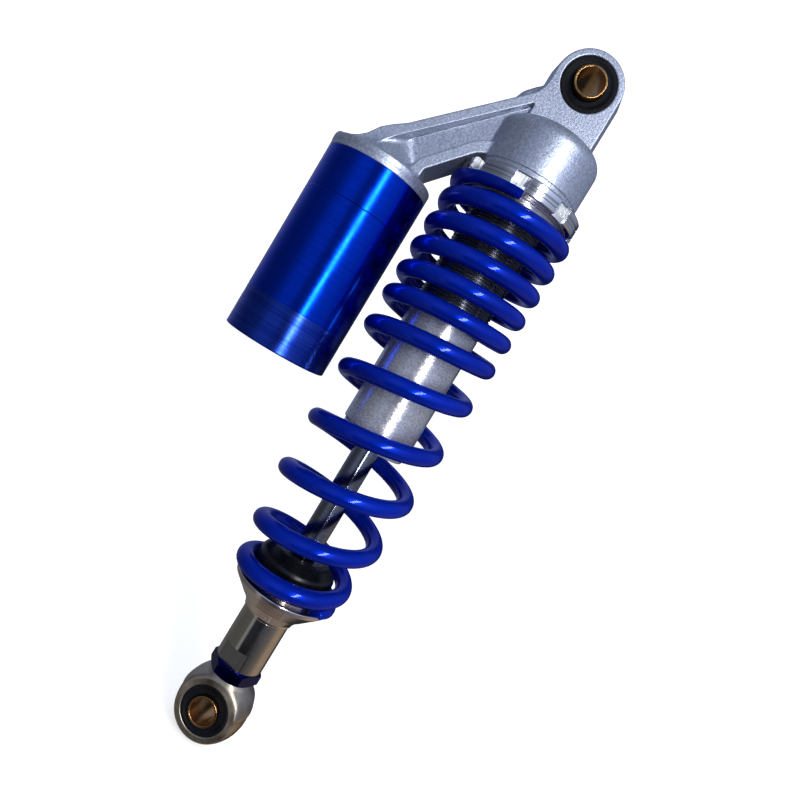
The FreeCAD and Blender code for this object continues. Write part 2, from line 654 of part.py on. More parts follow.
END_CAP_BOTTOM = RESERVOIR_END + END_CAP_INSET
END_CAP_TOP = END_CAP_BOTTOM + END_CAP_THICKNESS
END_RING_HEIGHT = END_CAP_TOP - END_CAP_RING_DROP
END_CLIP_HEIGHT = END_CAP_BOTTOM - CIRCLIP_WIRE / 2
VALVE_SEAT = END_CAP_BOTTOM + VALVE_WELL_DEPTH
VALVE_BODY_LOW = VALVE_SEAT - VALVE_BODY_LENGTH
VALVE_STEM_LOW = VALVE_BODY_LOW - VALVE_STEM_LENGTH
VALVE_THREAD_RADIUS = VALVE_STEM_RADIUS - VALVE_STEM_STEP


def reservoir_end_cap():
    x = -RESERVOIR_OFFSET
    body = disc(RESERVOIR_BORE_RADIUS, END_CAP_BOTTOM, END_CAP_TOP, x)
    body = body.cut(disc(VALVE_WELL_RADIUS, END_CAP_BOTTOM - SPARE, VALVE_SEAT, x))
    body = body.cut(disc(VALVE_STEM_RADIUS, END_CAP_BOTTOM - SPARE, END_CAP_TOP + SPARE, x))
    return body.cut(o_ring_groove(RESERVOIR_BORE_RADIUS, END_RING_HEIGHT, x))


def gas_valve():
    """Valve with a hexagon body in the end cap's well and a stem below it."""
    body = turned([
        (VALVE_BORE_RADIUS, VALVE_STEM_LOW), (VALVE_THREAD_RADIUS, VALVE_STEM_LOW),
        (VALVE_THREAD_RADIUS, VALVE_BODY_LOW), (VALVE_BODY_RADIUS, VALVE_BODY_LOW),
        (VALVE_BODY_RADIUS, VALVE_SEAT), (VALVE_STEM_RADIUS, VALVE_SEAT),
        (VALVE_STEM_RADIUS, END_CAP_TOP), (VALVE_BORE_RADIUS, END_CAP_TOP),
    ], -RESERVOIR_OFFSET)
    flats = hexagon(VALVE_BODY_FLATS, VALVE_STEM_LOW - SPARE, END_CAP_TOP + SPARE, 0)
    return body.common(flats.translated(RESERVOIR_CENTRE))


def valve_cap():
    x = -RESERVOIR_OFFSET
    top = VALVE_BODY_LOW - SEAT_GAP
    well = VALVE_STEM_LOW - SEAT_GAP
    low = well - VALVE_CAP_ROOF
    body = turned([
        (0, low), (VALVE_CAP_RADIUS - VALVE_CAP_CHAMFER, low), (VALVE_CAP_RADIUS, low + VALVE_CAP_CHAMFER),
        (VALVE_CAP_RADIUS, top), (VALVE_THREAD_RADIUS, top), (VALVE_THREAD_RADIUS, well), (0, well),
    ], x)
    reach = VALVE_CAP_RADIUS + VALVE_CAP_FLUTE_DEPTH
    for i in range(VALVE_CAP_FLUTES):
        a = 2 * math.pi * i / VALVE_CAP_FLUTES
        foot = Vector(x + reach * math.cos(a), reach * math.sin(a), low - SPARE)
        body = body.cut(Part.makeCylinder(VALVE_CAP_FLUTE_RADIUS, top - low + SPARE * 2, foot, AXIS_Z))
    return body


# Preload collar and upper spring seat

def preload_collar():
    r, c = COLLAR_RADIUS, COLLAR_CHAMFER
    bore = TUBE_RADIUS + RUNNING_CLEARANCE
    profile = [(bore, COLLAR_TOP), (r - c, COLLAR_TOP), (r, COLLAR_TOP - c)]
    for drop in COLLAR_GROOVE_DROPS:
        half = COLLAR_GROOVE_HEIGHT / 2
        z = COLLAR_TOP - drop
        profile += [(r, z + half), (r - COLLAR_GROOVE_DEPTH, z), (r, z - half)]
    profile += [(r, SPRING_TOP + c), (r - c, SPRING_TOP)]
    recess = UPPER_SEAT_FLANGE_RADIUS + COLLAR_PLAY
    roof = SPRING_TOP + UPPER_SEAT_FLANGE + SEAT_GAP
    wall = disc(recess + COLLAR_SKIN, SPRING_TOP - SPARE * 2, roof + COLLAR_SKIN)
    profile += [(recess, SPRING_TOP), (recess, roof), (bore, roof)]
    body = turned(profile)
    step = 360.0 / COLLAR_SLOTS
    corner = Vector(COLLAR_SLOT_FLOOR, -COLLAR_SLOT_WIDTH / 2, SPRING_TOP - SPARE)
    for i in range(COLLAR_SLOTS):
        slot = Part.makeBox(r, COLLAR_SLOT_WIDTH, COLLAR_HEIGHT + SPARE * 2, corner).cut(wall)
        slot.rotate(ORIGIN, AXIS_Z, -90 + COLLAR_SLOT_TURN + i * step)
        body = body.cut(slot)
    return body


def upper_spring_seat():
    bore = TUBE_RADIUS + RUNNING_CLEARANCE
    flange = SPRING_TOP + UPPER_SEAT_FLANGE
    s, c = UPPER_SEAT_SPIGOT_RADIUS, UPPER_SEAT_CHAMFER
    low = SPRING_TOP - UPPER_SEAT_SPIGOT
    return turned([
        (bore, flange), (UPPER_SEAT_FLANGE_RADIUS, flange), (UPPER_SEAT_FLANGE_RADIUS, SPRING_TOP),
        (s, SPRING_TOP), (s, low + c), (s - c, low), (bore, low),
    ])


# Coil spring

def ramp(t, points):
    """Straight-line interpolation through (turn, value) points."""
    for (t0, v0), (t1, v1) in zip(points, points[1:]):
        if t <= t1:
            return v0 + (v1 - v0) * (t - t0) / (t1 - t0)
    return points[-1][1]


PITCHES = [
    (0.0, SPRING_END_PITCH), (SPRING_TURNS_AT_END_PITCH, SPRING_END_PITCH),
    (SPRING_TURNS_TO_CLOSE_COILS, SPRING_CLOSE_PITCH), (SPRING_TURNS_TO_RAMP, SPRING_CLOSE_PITCH),
    (SPRING_TURNS_TO_OPEN_COILS, SPRING_OPEN_PITCH), (SPRING_TURNS_TO_LAST_OPEN, SPRING_OPEN_PITCH),
    (SPRING_TURNS_TO_CLOSING, SPRING_CLOSING_PITCH), (SPRING_TURNS_TO_TOUCH, SPRING_TOUCH_PITCH),
    (SPRING_TURNS, SPRING_FOOT_PITCH),
]


def natural_drop(t, steps=400):
    """Fall of the wire's centre line from its top end to turn t, before the fit between the seats."""
    h = t / steps
    return sum(ramp((i + 0.5) * h, PITCHES) * h for i in range(steps))


SPRING_SPAN = SPRING_TOP + SPRING_TOP_CUT - SPRING_FOOT
SPRING_FIT = (SPRING_SPAN - SPRING_FOOT_CUT) / natural_drop(SPRING_TURNS)


def spring_point(t):
    """Centre line of the wire: turn 0 at the front, running left as it falls."""
    angle = math.radians(-90 - 360 * t)
    radius = ramp(t, [
        (0.0, SPRING_MEAN_RADIUS), (SPRING_TURNS_TO_TAPER, SPRING_MEAN_RADIUS),
        (SPRING_TURNS, SPRING_LAST_RADIUS),
    ])
    height = SPRING_TOP + SPRING_TOP_CUT - natural_drop(t) * SPRING_FIT
    return Vector(radius * math.cos(angle), radius * math.sin(angle), height)


def spring_tangent(t):
    h = 0.002
    return (spring_point(min(t + h, SPRING_TURNS)) - spring_point(max(t - h, 0.0))).normalize()


def arc_from(start, tangent, end):
    """Arc that leaves start along the tangent and reaches end."""
    chord = end - start
    across = chord - tangent * chord.dot(tangent)
    side = across.normalize()
    radius = chord.dot(chord) / (2 * chord.dot(side))
    centre = start + side * radius
    middle = ((start + end) * 0.5 - centre).normalize()
    return Part.Arc(start, centre + middle * radius, end).toShape(), radius


def biarc(p0, t0, p1, t1):
    """Two arcs that join p0 to p1 with the given tangents."""
    chord = p1 - p0
    both = t0 + t1
    denominator = 2 * (1 - t0.dot(t1))
    root = math.sqrt(chord.dot(both) ** 2 + denominator * chord.dot(chord))
    d = (root - chord.dot(both)) / denominator
    joint = (p0 + p1 + (t0 - t1) * d) * 0.5
    first, r0 = arc_from(p0, t0, joint)
    middle_tangent = ((p1 - t1 * d) - (p0 + t0 * d)).normalize()
    second, r1 = arc_from(joint, middle_tangent, p1)
    return [first, second], min(r0, r1)


def spring_gap(steps_per_turn=48):
    """Least gap between neighbouring turns, measured on points of the centre line."""
    count = int(SPRING_TURNS * steps_per_turn)
    points = [spring_point(SPRING_TURNS * i / count) for i in range(count + 1)]
    least = min(
        (points[i] - points[j]).Length
        for i in range(len(points))
        for j in range(i + steps_per_turn // 2, len(points))
    )
    return least - SPRING_WIRE


def coil_spring():
    steps = math.ceil(SPRING_TURNS * SPRING_STEPS_PER_TURN)
    turns = [SPRING_TURNS * i / steps for i in range(steps + 1)]
    edges = []
    tightest = SPRING_MEAN_RADIUS
    for a, b in zip(turns, turns[1:]):
        arcs, radius = biarc(spring_point(a), spring_tangent(a), spring_point(b), spring_tangent(b))
        edges += arcs
        tightest = min(tightest, radius)
    path = Part.Wire(edges)
    section = Part.Wire([Part.makeCircle(SPRING_WIRE / 2, spring_point(0.0), spring_tangent(0.0))])
    tube = path.makePipeShell([section], True, False)
    expected = math.pi * (SPRING_WIRE / 2) ** 2 * path.Length
    print("spring: least gap to itself", round(spring_gap(), 2), "tightest bend", round(tightest, 2),
          "volume ratio", round(tube.Volume / expected, 4))
    reach = SPRING_MEAN_RADIUS + SPRING_WIRE
    return tube.common(disc(reach, SPRING_FOOT, SPRING_TOP))


# Rod, piston and valve stacks

LOWER_WASHER_TOP = ROD_SHOULDER + PISTON_WASHER_THICKNESS
STACK_HEIGHT = SHIM_COUNT * SHIM_THICKNESS
PISTON_BOTTOM = LOWER_WASHER_TOP + STACK_HEIGHT
PISTON_TOP = PISTON_BOTTOM + PISTON_LENGTH
UPPER_WASHER_BOTTOM = PISTON_TOP + STACK_HEIGHT
PISTON_NUT_BOTTOM = UPPER_WASHER_BOTTOM + PISTON_WASHER_THICKNESS
PISTON_NUT_TOP = PISTON_NUT_BOTTOM + PISTON_NUT_HEIGHT


def piston_rod():
    r, neck, c = ROD_RADIUS, ROD_NECK_RADIUS, ROD_CHAMFER
    top = PISTON_NUT_TOP + ROD_PAST_NUT
    return turned([
        (0, ROD_END), (r - c, ROD_END), (r, ROD_END + c), (r, ROD_SHOULDER), (neck, ROD_SHOULDER),
        (neck, top - c), (neck - c, top), (0, top),
    ])


def piston():
    radius = TUBE_BORE_RADIUS - RUNNING_CLEARANCE
    body = ring(radius, ROD_NECK_RADIUS, PISTON_BOTTOM, PISTON_TOP)
    circle = PISTON_PORT_CIRCLE
    for i in range(PISTON_PORTS):
        a = 2 * math.pi * i / PISTON_PORTS
        foot = Vector(circle * math.cos(a), circle * math.sin(a), PISTON_BOTTOM - SPARE)
        body = body.cut(Part.makeCylinder(PISTON_PORT_RADIUS, PISTON_LENGTH + SPARE * 2, foot, AXIS_Z))
    return body.cut(piston_band_space(SPARE))


def piston_band_space(spare):
    radius = TUBE_BORE_RADIUS - RUNNING_CLEARANCE
    middle = (PISTON_BOTTOM + PISTON_TOP) / 2
    half = PISTON_BAND_HEIGHT / 2
    return ring(radius + spare, radius - PISTON_BAND_THICKNESS, middle - half, middle + half)


def shims(start, direction):
    """Stack of thin discs, the widest one on the piston."""
    discs = []
    for i in range(SHIM_COUNT):
        near = start + direction * i * SHIM_THICKNESS
        far = near + direction * SHIM_THICKNESS
        outer = SHIM_RADIUS - i * SHIM_RADIUS_STEP
        discs.append(ring(outer, ROD_NECK_RADIUS, min(near, far), max(near, far)))
    return Part.makeCompound(discs)


def washer(low):
    return ring(PISTON_WASHER_RADIUS, ROD_NECK_RADIUS, low, low + PISTON_WASHER_THICKNESS)


def piston_nut():
    nut = chamfered_hexagon(PISTON_NUT_FLATS, PISTON_NUT_BOTTOM, PISTON_NUT_TOP, 0)
    return nut.cut(disc(ROD_NECK_RADIUS, PISTON_NUT_BOTTOM - SPARE, PISTON_NUT_TOP + SPARE))


# Lower spring seat, bump stop, barrel, nut and eye

def lower_spring_seat():
    top = SPRING_FOOT
    spigot, c, e = LOWER_SEAT_SPIGOT_RADIUS, LOWER_SEAT_SPIGOT_CHAMFER, LOWER_SEAT_EDGE
    return turned([
        (ROD_RADIUS + SEAT_GAP, LOWER_SEAT_TOP), (spigot - c, LOWER_SEAT_TOP),
        (spigot, LOWER_SEAT_TOP - c), (spigot, top),
        (LOWER_SEAT_RADIUS - e, top), (LOWER_SEAT_RADIUS, top - e),
        (LOWER_SEAT_RADIUS, top - LOWER_SEAT_LIP), (LOWER_SEAT_WAIST_RADIUS, top - LOWER_SEAT_WAIST_DROP),
        (LOWER_SEAT_WAIST_RADIUS - LOWER_SEAT_STEP, top - LOWER_SEAT_WAIST_DROP),
        (LOWER_SEAT_HUB_RADIUS, top - LOWER_SEAT_HUB_DROP), (LOWER_SEAT_HUB_RADIUS, BARREL_SHOULDER),
        (BARREL_NECK_RADIUS, BARREL_SHOULDER), (BARREL_NECK_RADIUS, BARREL_NECK_TOP),
        (ROD_RADIUS + SEAT_GAP, BARREL_NECK_TOP),
    ])


def bump_stop():
    """Rubber stop: a wide flange on the seat, a waisted body and a narrower tip."""
    low, foot = LOWER_SEAT_TOP, LOWER_SEAT_TOP + BUMP_STOP_FLANGE
    inner = ROD_RADIUS + SEAT_GAP
    flange, f, e = BUMP_STOP_FLANGE_RADIUS, BUMP_STOP_FLANGE_FOOT, BUMP_STOP_FLANGE_EDGE
    return turned([
        (inner, low), (flange - f, low), (flange, low + f), (flange, foot - e), (flange - e, foot),
    ] + [(r, foot + rise) for r, rise in BUMP_STOP_BODY] + [(inner, BUMP_STOP_TOP)])


def lower_barrel():
    r, c = BARREL_RADIUS, BARREL_CHAMFER
    body = turned([
        (0, BARREL_BOTTOM), (r - c, BARREL_BOTTOM), (r, BARREL_BOTTOM + c), (r, BARREL_SHOULDER - c),
        (r - c, BARREL_SHOULDER), (BARREL_NECK_RADIUS, BARREL_SHOULDER),
        (BARREL_NECK_RADIUS, BARREL_NECK_TOP), (0, BARREL_NECK_TOP),
    ])
    body = body.cut(disc(ROD_RADIUS, ROD_END, BARREL_NECK_TOP + SPARE))
    stud_bore = STUD_RADIUS + RUNNING_CLEARANCE
    body = body.cut(disc(stud_bore, BARREL_BOTTOM - SPARE, BARREL_BOTTOM + STUD_LENGTH + STUD_BORE_SPARE))
    corner = Vector(BARREL_FLATS / 2, -r, BARREL_BOTTOM - SPARE)
    for side in (0, 180):
        flat = Part.makeBox(r, 2 * r, BARREL_FLAT_LENGTH + SPARE, corner)
        flat.rotate(ORIGIN, AXIS_Z, -90 + BARREL_FLAT_TURN + side)
        body = body.cut(flat)
    return body


def jam_nut():
    nut = chamfered_hexagon(JAM_NUT_FLATS, NUT_BOTTOM, NUT_TOP, JAM_NUT_TURN)
    return nut.cut(disc(STUD_RADIUS + RUNNING_CLEARANCE, NUT_BOTTOM - SPARE, NUT_TOP + SPARE))


def on_rim(radius, angle):
    """Point beside the eye at this radius and angle above its centre."""
    a = math.radians(angle)
    return (radius * math.cos(a), EYE_CENTRE + radius * math.sin(a))


def neck_outline(radius, y):
    """Outline of the eye's neck at one depth: from the ring's own width up to the nut."""
    top = EYE_NECK_TOP
    scale = radius / LOWER_EYE_RADIUS
    right = [
        on_rim(radius, NECK_ROOT_ANGLE), on_rim(radius + NECK_BULGE, NECK_BULGE_ANGLE),
        ((NECK_RADIUS + NECK_WAIST[0]) * scale, top - NECK_WAIST[1]), (NECK_RADIUS * scale, top),
    ]
    points = right + [(-px, pz) for px, pz in reversed(right)]
    return Part.makePolygon([Vector(px, y, pz) for px, pz in points + points[:1]])


def lower_eye():
    """Forged ring with a crowned rim, a neck that narrows to the nut, and a stud."""
    face, crown, half = LOWER_EYE_FACE_RADIUS, LOWER_EYE_RADIUS, LOWER_EYE_WIDTH / 2
    bore = LOWER_BUSH_RADIUS
    sides = Part.makePolygon([
        Vector(0, half, EYE_CENTRE + face), Vector(0, half, EYE_CENTRE + bore),
        Vector(0, -half, EYE_CENTRE + bore), Vector(0, -half, EYE_CENTRE + face),
    ])
    rim = Part.Arc(
        Vector(0, -half, EYE_CENTRE + face), Vector(0, 0, EYE_CENTRE + crown),
        Vector(0, half, EYE_CENTRE + face)
    ).toShape()
    ring_face = Part.Face(Part.Wire(sides.Edges + [rim]))
    eye = ring_face.revolve(Vector(0, 0, EYE_CENTRE), AXIS_Y, 360)
    neck, top = NECK_RADIUS, EYE_NECK_TOP
    depths = [(face - NECK_INSET, -half), (crown, 0), (face - NECK_INSET, half)]
    sections = [neck_outline(radius, y) for radius, y in depths]
    low = on_rim(face - NECK_INSET, NECK_ROOT_ANGLE)[1]
    flare = turned([
        (0, top), (neck, top), (neck + NECK_EDGE[0], top - NECK_EDGE[1]),
        (crown + NECK_REACH, low), (0, low),
    ])
    body = eye.fuse(Part.makeLoft(sections, True, True).common(flare))
    body = body.cut(cylinder_y(bore, LOWER_EYE_WIDTH + SPARE * 2, EYE_CENTRE))
    stud = disc(STUD_RADIUS, EYE_NECK_TOP - SPARE, BARREL_BOTTOM + STUD_LENGTH)
    return body.fuse(stud).removeSplitter()


def turned_eye(shape):
    """The lower eye group stands turned about the damper axis."""
    shape.rotate(ORIGIN, AXIS_Z, LOWER_EYE_TURN)
    return shape


# Write every piece

save("head_casting", head_casting())
save("upper_bush", bush(UPPER_BUSH_RADIUS, UPPER_PLATE_WIDTH, 0.0))
save("upper_sleeve", sleeve(UPPER_SLEEVE_LENGTH, 0.0))
save("damper_tube", damper_tube())
save("tube_o_ring", tube_seal(TUBE_SEAL_WIDTH, 0.0))
save("rod_guide", rod_guide())
save("guide_o_ring", o_ring(TUBE_BORE_RADIUS, GUIDE_RING_HEIGHT))
save("guide_circlip", circlip(TUBE_BORE_RADIUS, GUIDE_CLIP_HEIGHT))
save("guide_bush", ring(ROD_RADIUS + GUIDE_BUSH_WALL, ROD_RADIUS + SEAL_CLEARANCE, BUSH_BOTTOM, BUSH_TOP))
save("rod_seal", ring(ROD_RADIUS + ROD_SEAL_WALL, ROD_RADIUS + SEAL_CLEARANCE, SEAL_BOTTOM, SEAL_TOP))
save("dust_wiper", dust_wiper())
save("reservoir_tube", reservoir_tube())
save("reservoir_top_o_ring", o_ring(RESERVOIR_BORE_RADIUS, RESERVOIR_RING_HEIGHT, -RESERVOIR_OFFSET))
save("floating_piston", floating_piston())
save("floating_piston_o_ring",
     o_ring(RESERVOIR_BORE_RADIUS - RUNNING_CLEARANCE, FLOATING_RING_HEIGHT, -RESERVOIR_OFFSET))
save("floating_piston_band", floating_band_space(0.0))
save("reservoir_end_cap", reservoir_end_cap())
save("end_cap_o_ring", o_ring(RESERVOIR_BORE_RADIUS, END_RING_HEIGHT, -RESERVOIR_OFFSET))
save("end_cap_circlip", circlip(RESERVOIR_BORE_RADIUS, END_CLIP_HEIGHT, -RESERVOIR_OFFSET))
save("gas_valve", gas_valve())
save("valve_cap", valve_cap())
save("preload_collar", preload_collar())
save("upper_spring_seat", upper_spring_seat())
save("coil_spring", coil_spring())
save("piston_rod", piston_rod())
save("top_out_bumper",
     ring(ROD_RADIUS + TOP_OUT_WALL, ROD_RADIUS, GUIDE_TOP + SEAT_GAP, ROD_SHOULDER))
save("lower_piston_washer", washer(ROD_SHOULDER))
save("rebound_shims", shims(PISTON_BOTTOM, -1))
save("piston", piston())
save("piston_band", piston_band_space(0.0))
save("compression_shims", shims(PISTON_TOP, 1))
save("upper_piston_washer", washer(UPPER_WASHER_BOTTOM))
save("piston_nut", piston_nut())
save("bump_stop", bump_stop())
save("lower_spring_seat", lower_spring_seat())
save("lower_barrel", lower_barrel())
save("jam_nut", jam_nut())
save("lower_eye", turned_eye(lower_eye()))
save("lower_bush", turned_eye(bush(LOWER_BUSH_RADIUS, LOWER_EYE_WIDTH, EYE_CENTRE)))
save("lower_sleeve", turned_eye(sleeve(LOWER_SLEEVE_LENGTH, EYE_CENTRE)))
print("spring foot", round(SPRING_FOOT, 2), "tube end", TUBE_END, "bump stop top", round(BUMP_STOP_TOP, 2))
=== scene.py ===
import json
import math

import bmesh
import bpy
import numpy as np
from mathutils import Matrix, Quaternion, Vector


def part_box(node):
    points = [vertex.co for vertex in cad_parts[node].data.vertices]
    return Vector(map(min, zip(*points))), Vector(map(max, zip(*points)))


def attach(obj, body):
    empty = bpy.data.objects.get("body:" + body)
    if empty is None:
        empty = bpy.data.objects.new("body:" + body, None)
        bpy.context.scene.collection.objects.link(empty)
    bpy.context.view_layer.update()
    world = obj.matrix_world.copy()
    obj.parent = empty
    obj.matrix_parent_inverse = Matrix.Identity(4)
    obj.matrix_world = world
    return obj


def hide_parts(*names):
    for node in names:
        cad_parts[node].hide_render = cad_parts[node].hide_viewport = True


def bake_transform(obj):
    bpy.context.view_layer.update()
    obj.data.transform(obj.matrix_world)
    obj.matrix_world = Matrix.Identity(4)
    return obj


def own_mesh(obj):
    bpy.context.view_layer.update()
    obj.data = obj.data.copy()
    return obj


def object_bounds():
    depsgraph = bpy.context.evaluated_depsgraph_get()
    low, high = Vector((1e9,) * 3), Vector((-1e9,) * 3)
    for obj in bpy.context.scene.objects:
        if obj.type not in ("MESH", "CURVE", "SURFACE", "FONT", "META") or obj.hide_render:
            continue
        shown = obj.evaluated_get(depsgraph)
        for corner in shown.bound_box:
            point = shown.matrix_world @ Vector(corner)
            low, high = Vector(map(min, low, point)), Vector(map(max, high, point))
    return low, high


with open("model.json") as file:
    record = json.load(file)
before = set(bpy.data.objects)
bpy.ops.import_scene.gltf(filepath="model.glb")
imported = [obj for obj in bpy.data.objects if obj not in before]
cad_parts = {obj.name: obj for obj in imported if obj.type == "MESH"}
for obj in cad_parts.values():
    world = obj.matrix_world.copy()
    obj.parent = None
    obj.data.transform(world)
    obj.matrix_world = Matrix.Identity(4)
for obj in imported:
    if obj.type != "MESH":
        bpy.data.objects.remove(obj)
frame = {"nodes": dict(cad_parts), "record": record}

# Rear shock absorber with a piggyback gas reservoir: finishes, detailed shapes, camera and light.
# Sizes are in millimetres in the part's own frame: the damper axis is Z, the upper eye is at the
# origin and the reservoir is towards -X. Meshes are stored in metres.

MM = 0.001
PER_MM = 1 / MM
CAD_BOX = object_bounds()

# How finely round shapes are cut
AROUND = 128
ROUND = np.linspace(0, 2 * math.pi, AROUND, endpoint=False)
ARC_STEP = math.radians(15)
SUPPORT = 0.2
BEVEL_STEPS = 2
GRID = 0.4
EYE_GRID = GRID * 0.8
SURFACE_ROUNDS = 3
SLOPE_REACH = 0.04

# Limits of the mesh helpers
CORNER_SHARE = 0.48
STRAIGHT = 0.01
WELD = 0.0005
SHARP = 35
WIRE_SHARP = 50
BEVEL_FROM = math.radians(30)
TINY = 1e-9

# Room round a piece that turns in another
RUNNING = 0.05


def span(node, axis=2):
    """Lowest and highest place of a CAD node along an axis, in millimetres."""
    low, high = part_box(node)
    return low[axis] / MM, high[axis] / MM


# Places taken from the frame
LOWER_MOUNT = frame["record"]["mounts"][1]
EYE_CENTRE = LOWER_MOUNT["pos_m"][2] / MM
LOWER_TURN = math.atan2(-LOWER_MOUNT["axis"][0], LOWER_MOUNT["axis"][1])
RESERVOIR_LOW, RESERVOIR_TOP = span("reservoir_tube")
RESERVOIR_LEFT, RESERVOIR_RIGHT = span("reservoir_tube", 0)
RESERVOIR_X = (RESERVOIR_LEFT + RESERVOIR_RIGHT) / 2
RESERVOIR_RADIUS = (RESERVOIR_RIGHT - RESERVOIR_LEFT) / 2
TUBE_END, TUBE_TOP = span("damper_tube")
COLLAR_LOW, COLLAR_TOP = span("preload_collar")
SPRING_FOOT, SPRING_TOP = span("coil_spring")
SEAT_LOW, SEAT_TOP = span("lower_spring_seat")
BARREL_LOW, BARREL_HIGH = span("lower_barrel")
NUT_LOW, NUT_HIGH = span("jam_nut")
STOP_LOW = span("bump_stop")[0]
ROD_LOW, ROD_HIGH = span("piston_rod")


# Mesh helpers

def placed(name, data):
    """Object with this data, in the scene."""
    obj = bpy.data.objects.new(name, data)
    bpy.context.scene.collection.objects.link(obj)
    return obj


def to_object(name, points, faces, sharp=SHARP):
    """Closed mesh from points in millimetres and faces of any size, shaded smooth up to the sharp angle."""
    mesh = bpy.data.meshes.new(name)
    shell = bmesh.new()
    mesh.from_pydata((np.asarray(points, float) * MM).tolist(), [], [list(f) for f in faces])
    shell.from_mesh(mesh)
    bmesh.ops.remove_doubles(shell, verts=shell.verts, dist=WELD * MM)
    bmesh.ops.dissolve_degenerate(shell, edges=shell.edges, dist=WELD * MM)
    bmesh.ops.recalc_face_normals(shell, faces=shell.faces)
    shell.to_mesh(mesh)
    shell.free()
    mesh.shade_smooth()
    mesh.set_sharp_from_angle(angle=math.radians(sharp))
    return placed(name, mesh)


def ring_faces(count, rings, closed):
    """Quads between rings of equally many points. A closed stack joins its last ring to its first."""
    here = np.arange(count)
    after = (here + 1) % count
    faces = []
    for i in range(rings if closed else rings - 1):
        a, b = i * count, (i + 1) % rings * count
        faces.append(np.stack([a + here, b + here, b + after, a + after], 1))
    return np.concatenate(faces)


def stack(name, rings, closed=True, sharp=SHARP):
    """Surface through rings of points. An open stack gets a flat face at each end."""
    count = len(rings[0])
    faces = ring_faces(count, len(rings), closed).tolist()
    if not closed:
        last = (len(rings) - 1) * count
        faces += [list(range(count)), list(range(last, last + count))]
    return to_object(name, np.concatenate(rings), faces, sharp)


def eased(outline, closed=True):
    """Outline whose corners (a, b, radius) are rounded by arcs. Corners without a radius stay sharp."""
    points = []
    count = len(outline)
    for i, corner in enumerate(outline):
        here = np.array(corner[:2], float)
        radius = corner[2] if len(corner) > 2 else 0.0
        if radius <= 0 or (not closed and i in (0, count - 1)):
            points.append(here)
            continue
        before = np.array(outline[i - 1][:2], float) - here
        after = np.array(outline[(i + 1) % count][:2], float) - here
        room = min(np.linalg.norm(before), np.linalg.norm(after)) * CORNER_SHARE
        before /= np.linalg.norm(before)
        after /= np.linalg.norm(after)
        half = math.acos(np.clip(before @ after, -1, 1)) / 2
        reach = min(radius / math.tan(half), room) if half < math.pi / 2 - STRAIGHT else 0.0
        if reach <= 0:
            points.append(here)
            continue
        bend = math.pi - 2 * half
        size = reach * math.tan(half)
        centre = here + (before + after) / np.linalg.norm(before + after) * size / math.sin(half)
        start = here + before * reach - centre
        end = here + after * reach - centre
        steps = max(2, math.ceil(bend / ARC_STEP))
        for k in range(steps + 1):
            a, b = math.sin(bend * (1 - k / steps)), math.sin(bend * k / steps)
            points.append(centre + (start * a + end * b) / math.sin(bend))
    return np.array(points)


def supported(points, closed=True):
    """Outline with a point close to each end of its long runs, so that corners don't tint their shading."""
    result = []
    for i, here in enumerate(points):
        result.append(here)
        after = points[(i + 1) % len(points)]
        run = np.linalg.norm(after - here)
        if run > 4 * SUPPORT and (closed or i < len(points) - 1):
            step = (after - here) * SUPPORT / run
            result += [here + step, after - step]
    return np.array(result)


def circle(radius, height, angles=ROUND, x=0.0):
    """Points round a vertical axis at x. Radius and height are one number, or one for each angle."""
    return np.stack([x + radius * np.cos(angles), radius * np.sin(angles), height + 0 * angles], 1)


def lathe(name, outline, x=0.0):
    """Closed ring turned about a vertical axis at x, from (radius, height, corner radius)."""
    return stack(name, [circle(r, h, x=x) for r, h in supported(eased(outline))])


def eye_ring(name, side, height, turn):
    """Ring about a level bore, alike on both faces, from its far face's (radius, y, corner radius)."""
    cos, sin = math.cos(turn), math.sin(turn)
    rings = []
    for r, y in supported(eased([(r, -y, c) for r, y, c in side] + side[::-1])):
        across, up = r * np.cos(ROUND), r * np.sin(ROUND)
        rings.append(np.stack([across * cos - y * sin, across * sin + y * cos, height + up], 1))
    return stack(name, rings)


def bevel(obj, width):
    """Rounds the hard edges of a piece by this width in millimetres."""
    modifier = obj.modifiers.new("edges", "BEVEL")
    modifier.width = width * MM
    modifier.segments = BEVEL_STEPS
    modifier.limit_method = "ANGLE"
    modifier.angle_limit = BEVEL_FROM
    modifier.harden_normals = True
    return obj


def finish_piece(obj, body, slot, *nodes, finish=None):
    """Gives a piece its body and its slot's finish or another one, and lets it stand for its CAD nodes."""
    obj.data.materials.clear()
    obj.data.materials.append(MATERIALS[finish or slot])
    if body:
        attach(obj, body)
    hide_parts(*nodes)


def second_finish(obj, finish, chosen):
    """Gives the chosen faces of a piece another finish."""
    obj.data.materials.append(MATERIALS[finish])
    for face in obj.data.polygons:
        face.material_index = int(chosen(face))


# Distance fields: negative inside, in millimetres

def blend_in(a, b, size):
    """Union of two shapes with a fillet of about this size."""
    share = np.clip(0.5 + 0.5 * (b - a) / size, 0, 1)
    return b * (1 - share) + a * share - size * share * (1 - share)


def common(a, b, size):
    """Where two shapes overlap, with its edge rounded."""
    return -blend_in(-a, -b, size)


def cut_out(a, b, size):
    """First shape without the second, with the edge rounded."""
    return -blend_in(-a, b, size)


def outline_distance(x, z, corners):
    """Signed distance to a closed outline in the XZ plane."""
    shape = np.broadcast(x, z).shape
    nearest = np.full(shape, np.inf)
    inside = np.zeros(shape, bool)
    for (ax, az), (bx, bz) in zip(corners, np.roll(corners, -1, 0)):
        ex, ez = bx - ax, bz - az
        wx, wz = x - ax, z - az
        t = np.clip((wx * ex + wz * ez) / (ex * ex + ez * ez), 0, 1)
        nearest = np.minimum(nearest, (wx - ex * t) ** 2 + (wz - ez * t) ** 2)
        if ez != 0:
            inside ^= ((az > z) != (bz > z)) & (x < ex * (z - az) / ez + ax)
    return np.where(inside, -1, 1) * np.sqrt(nearest)


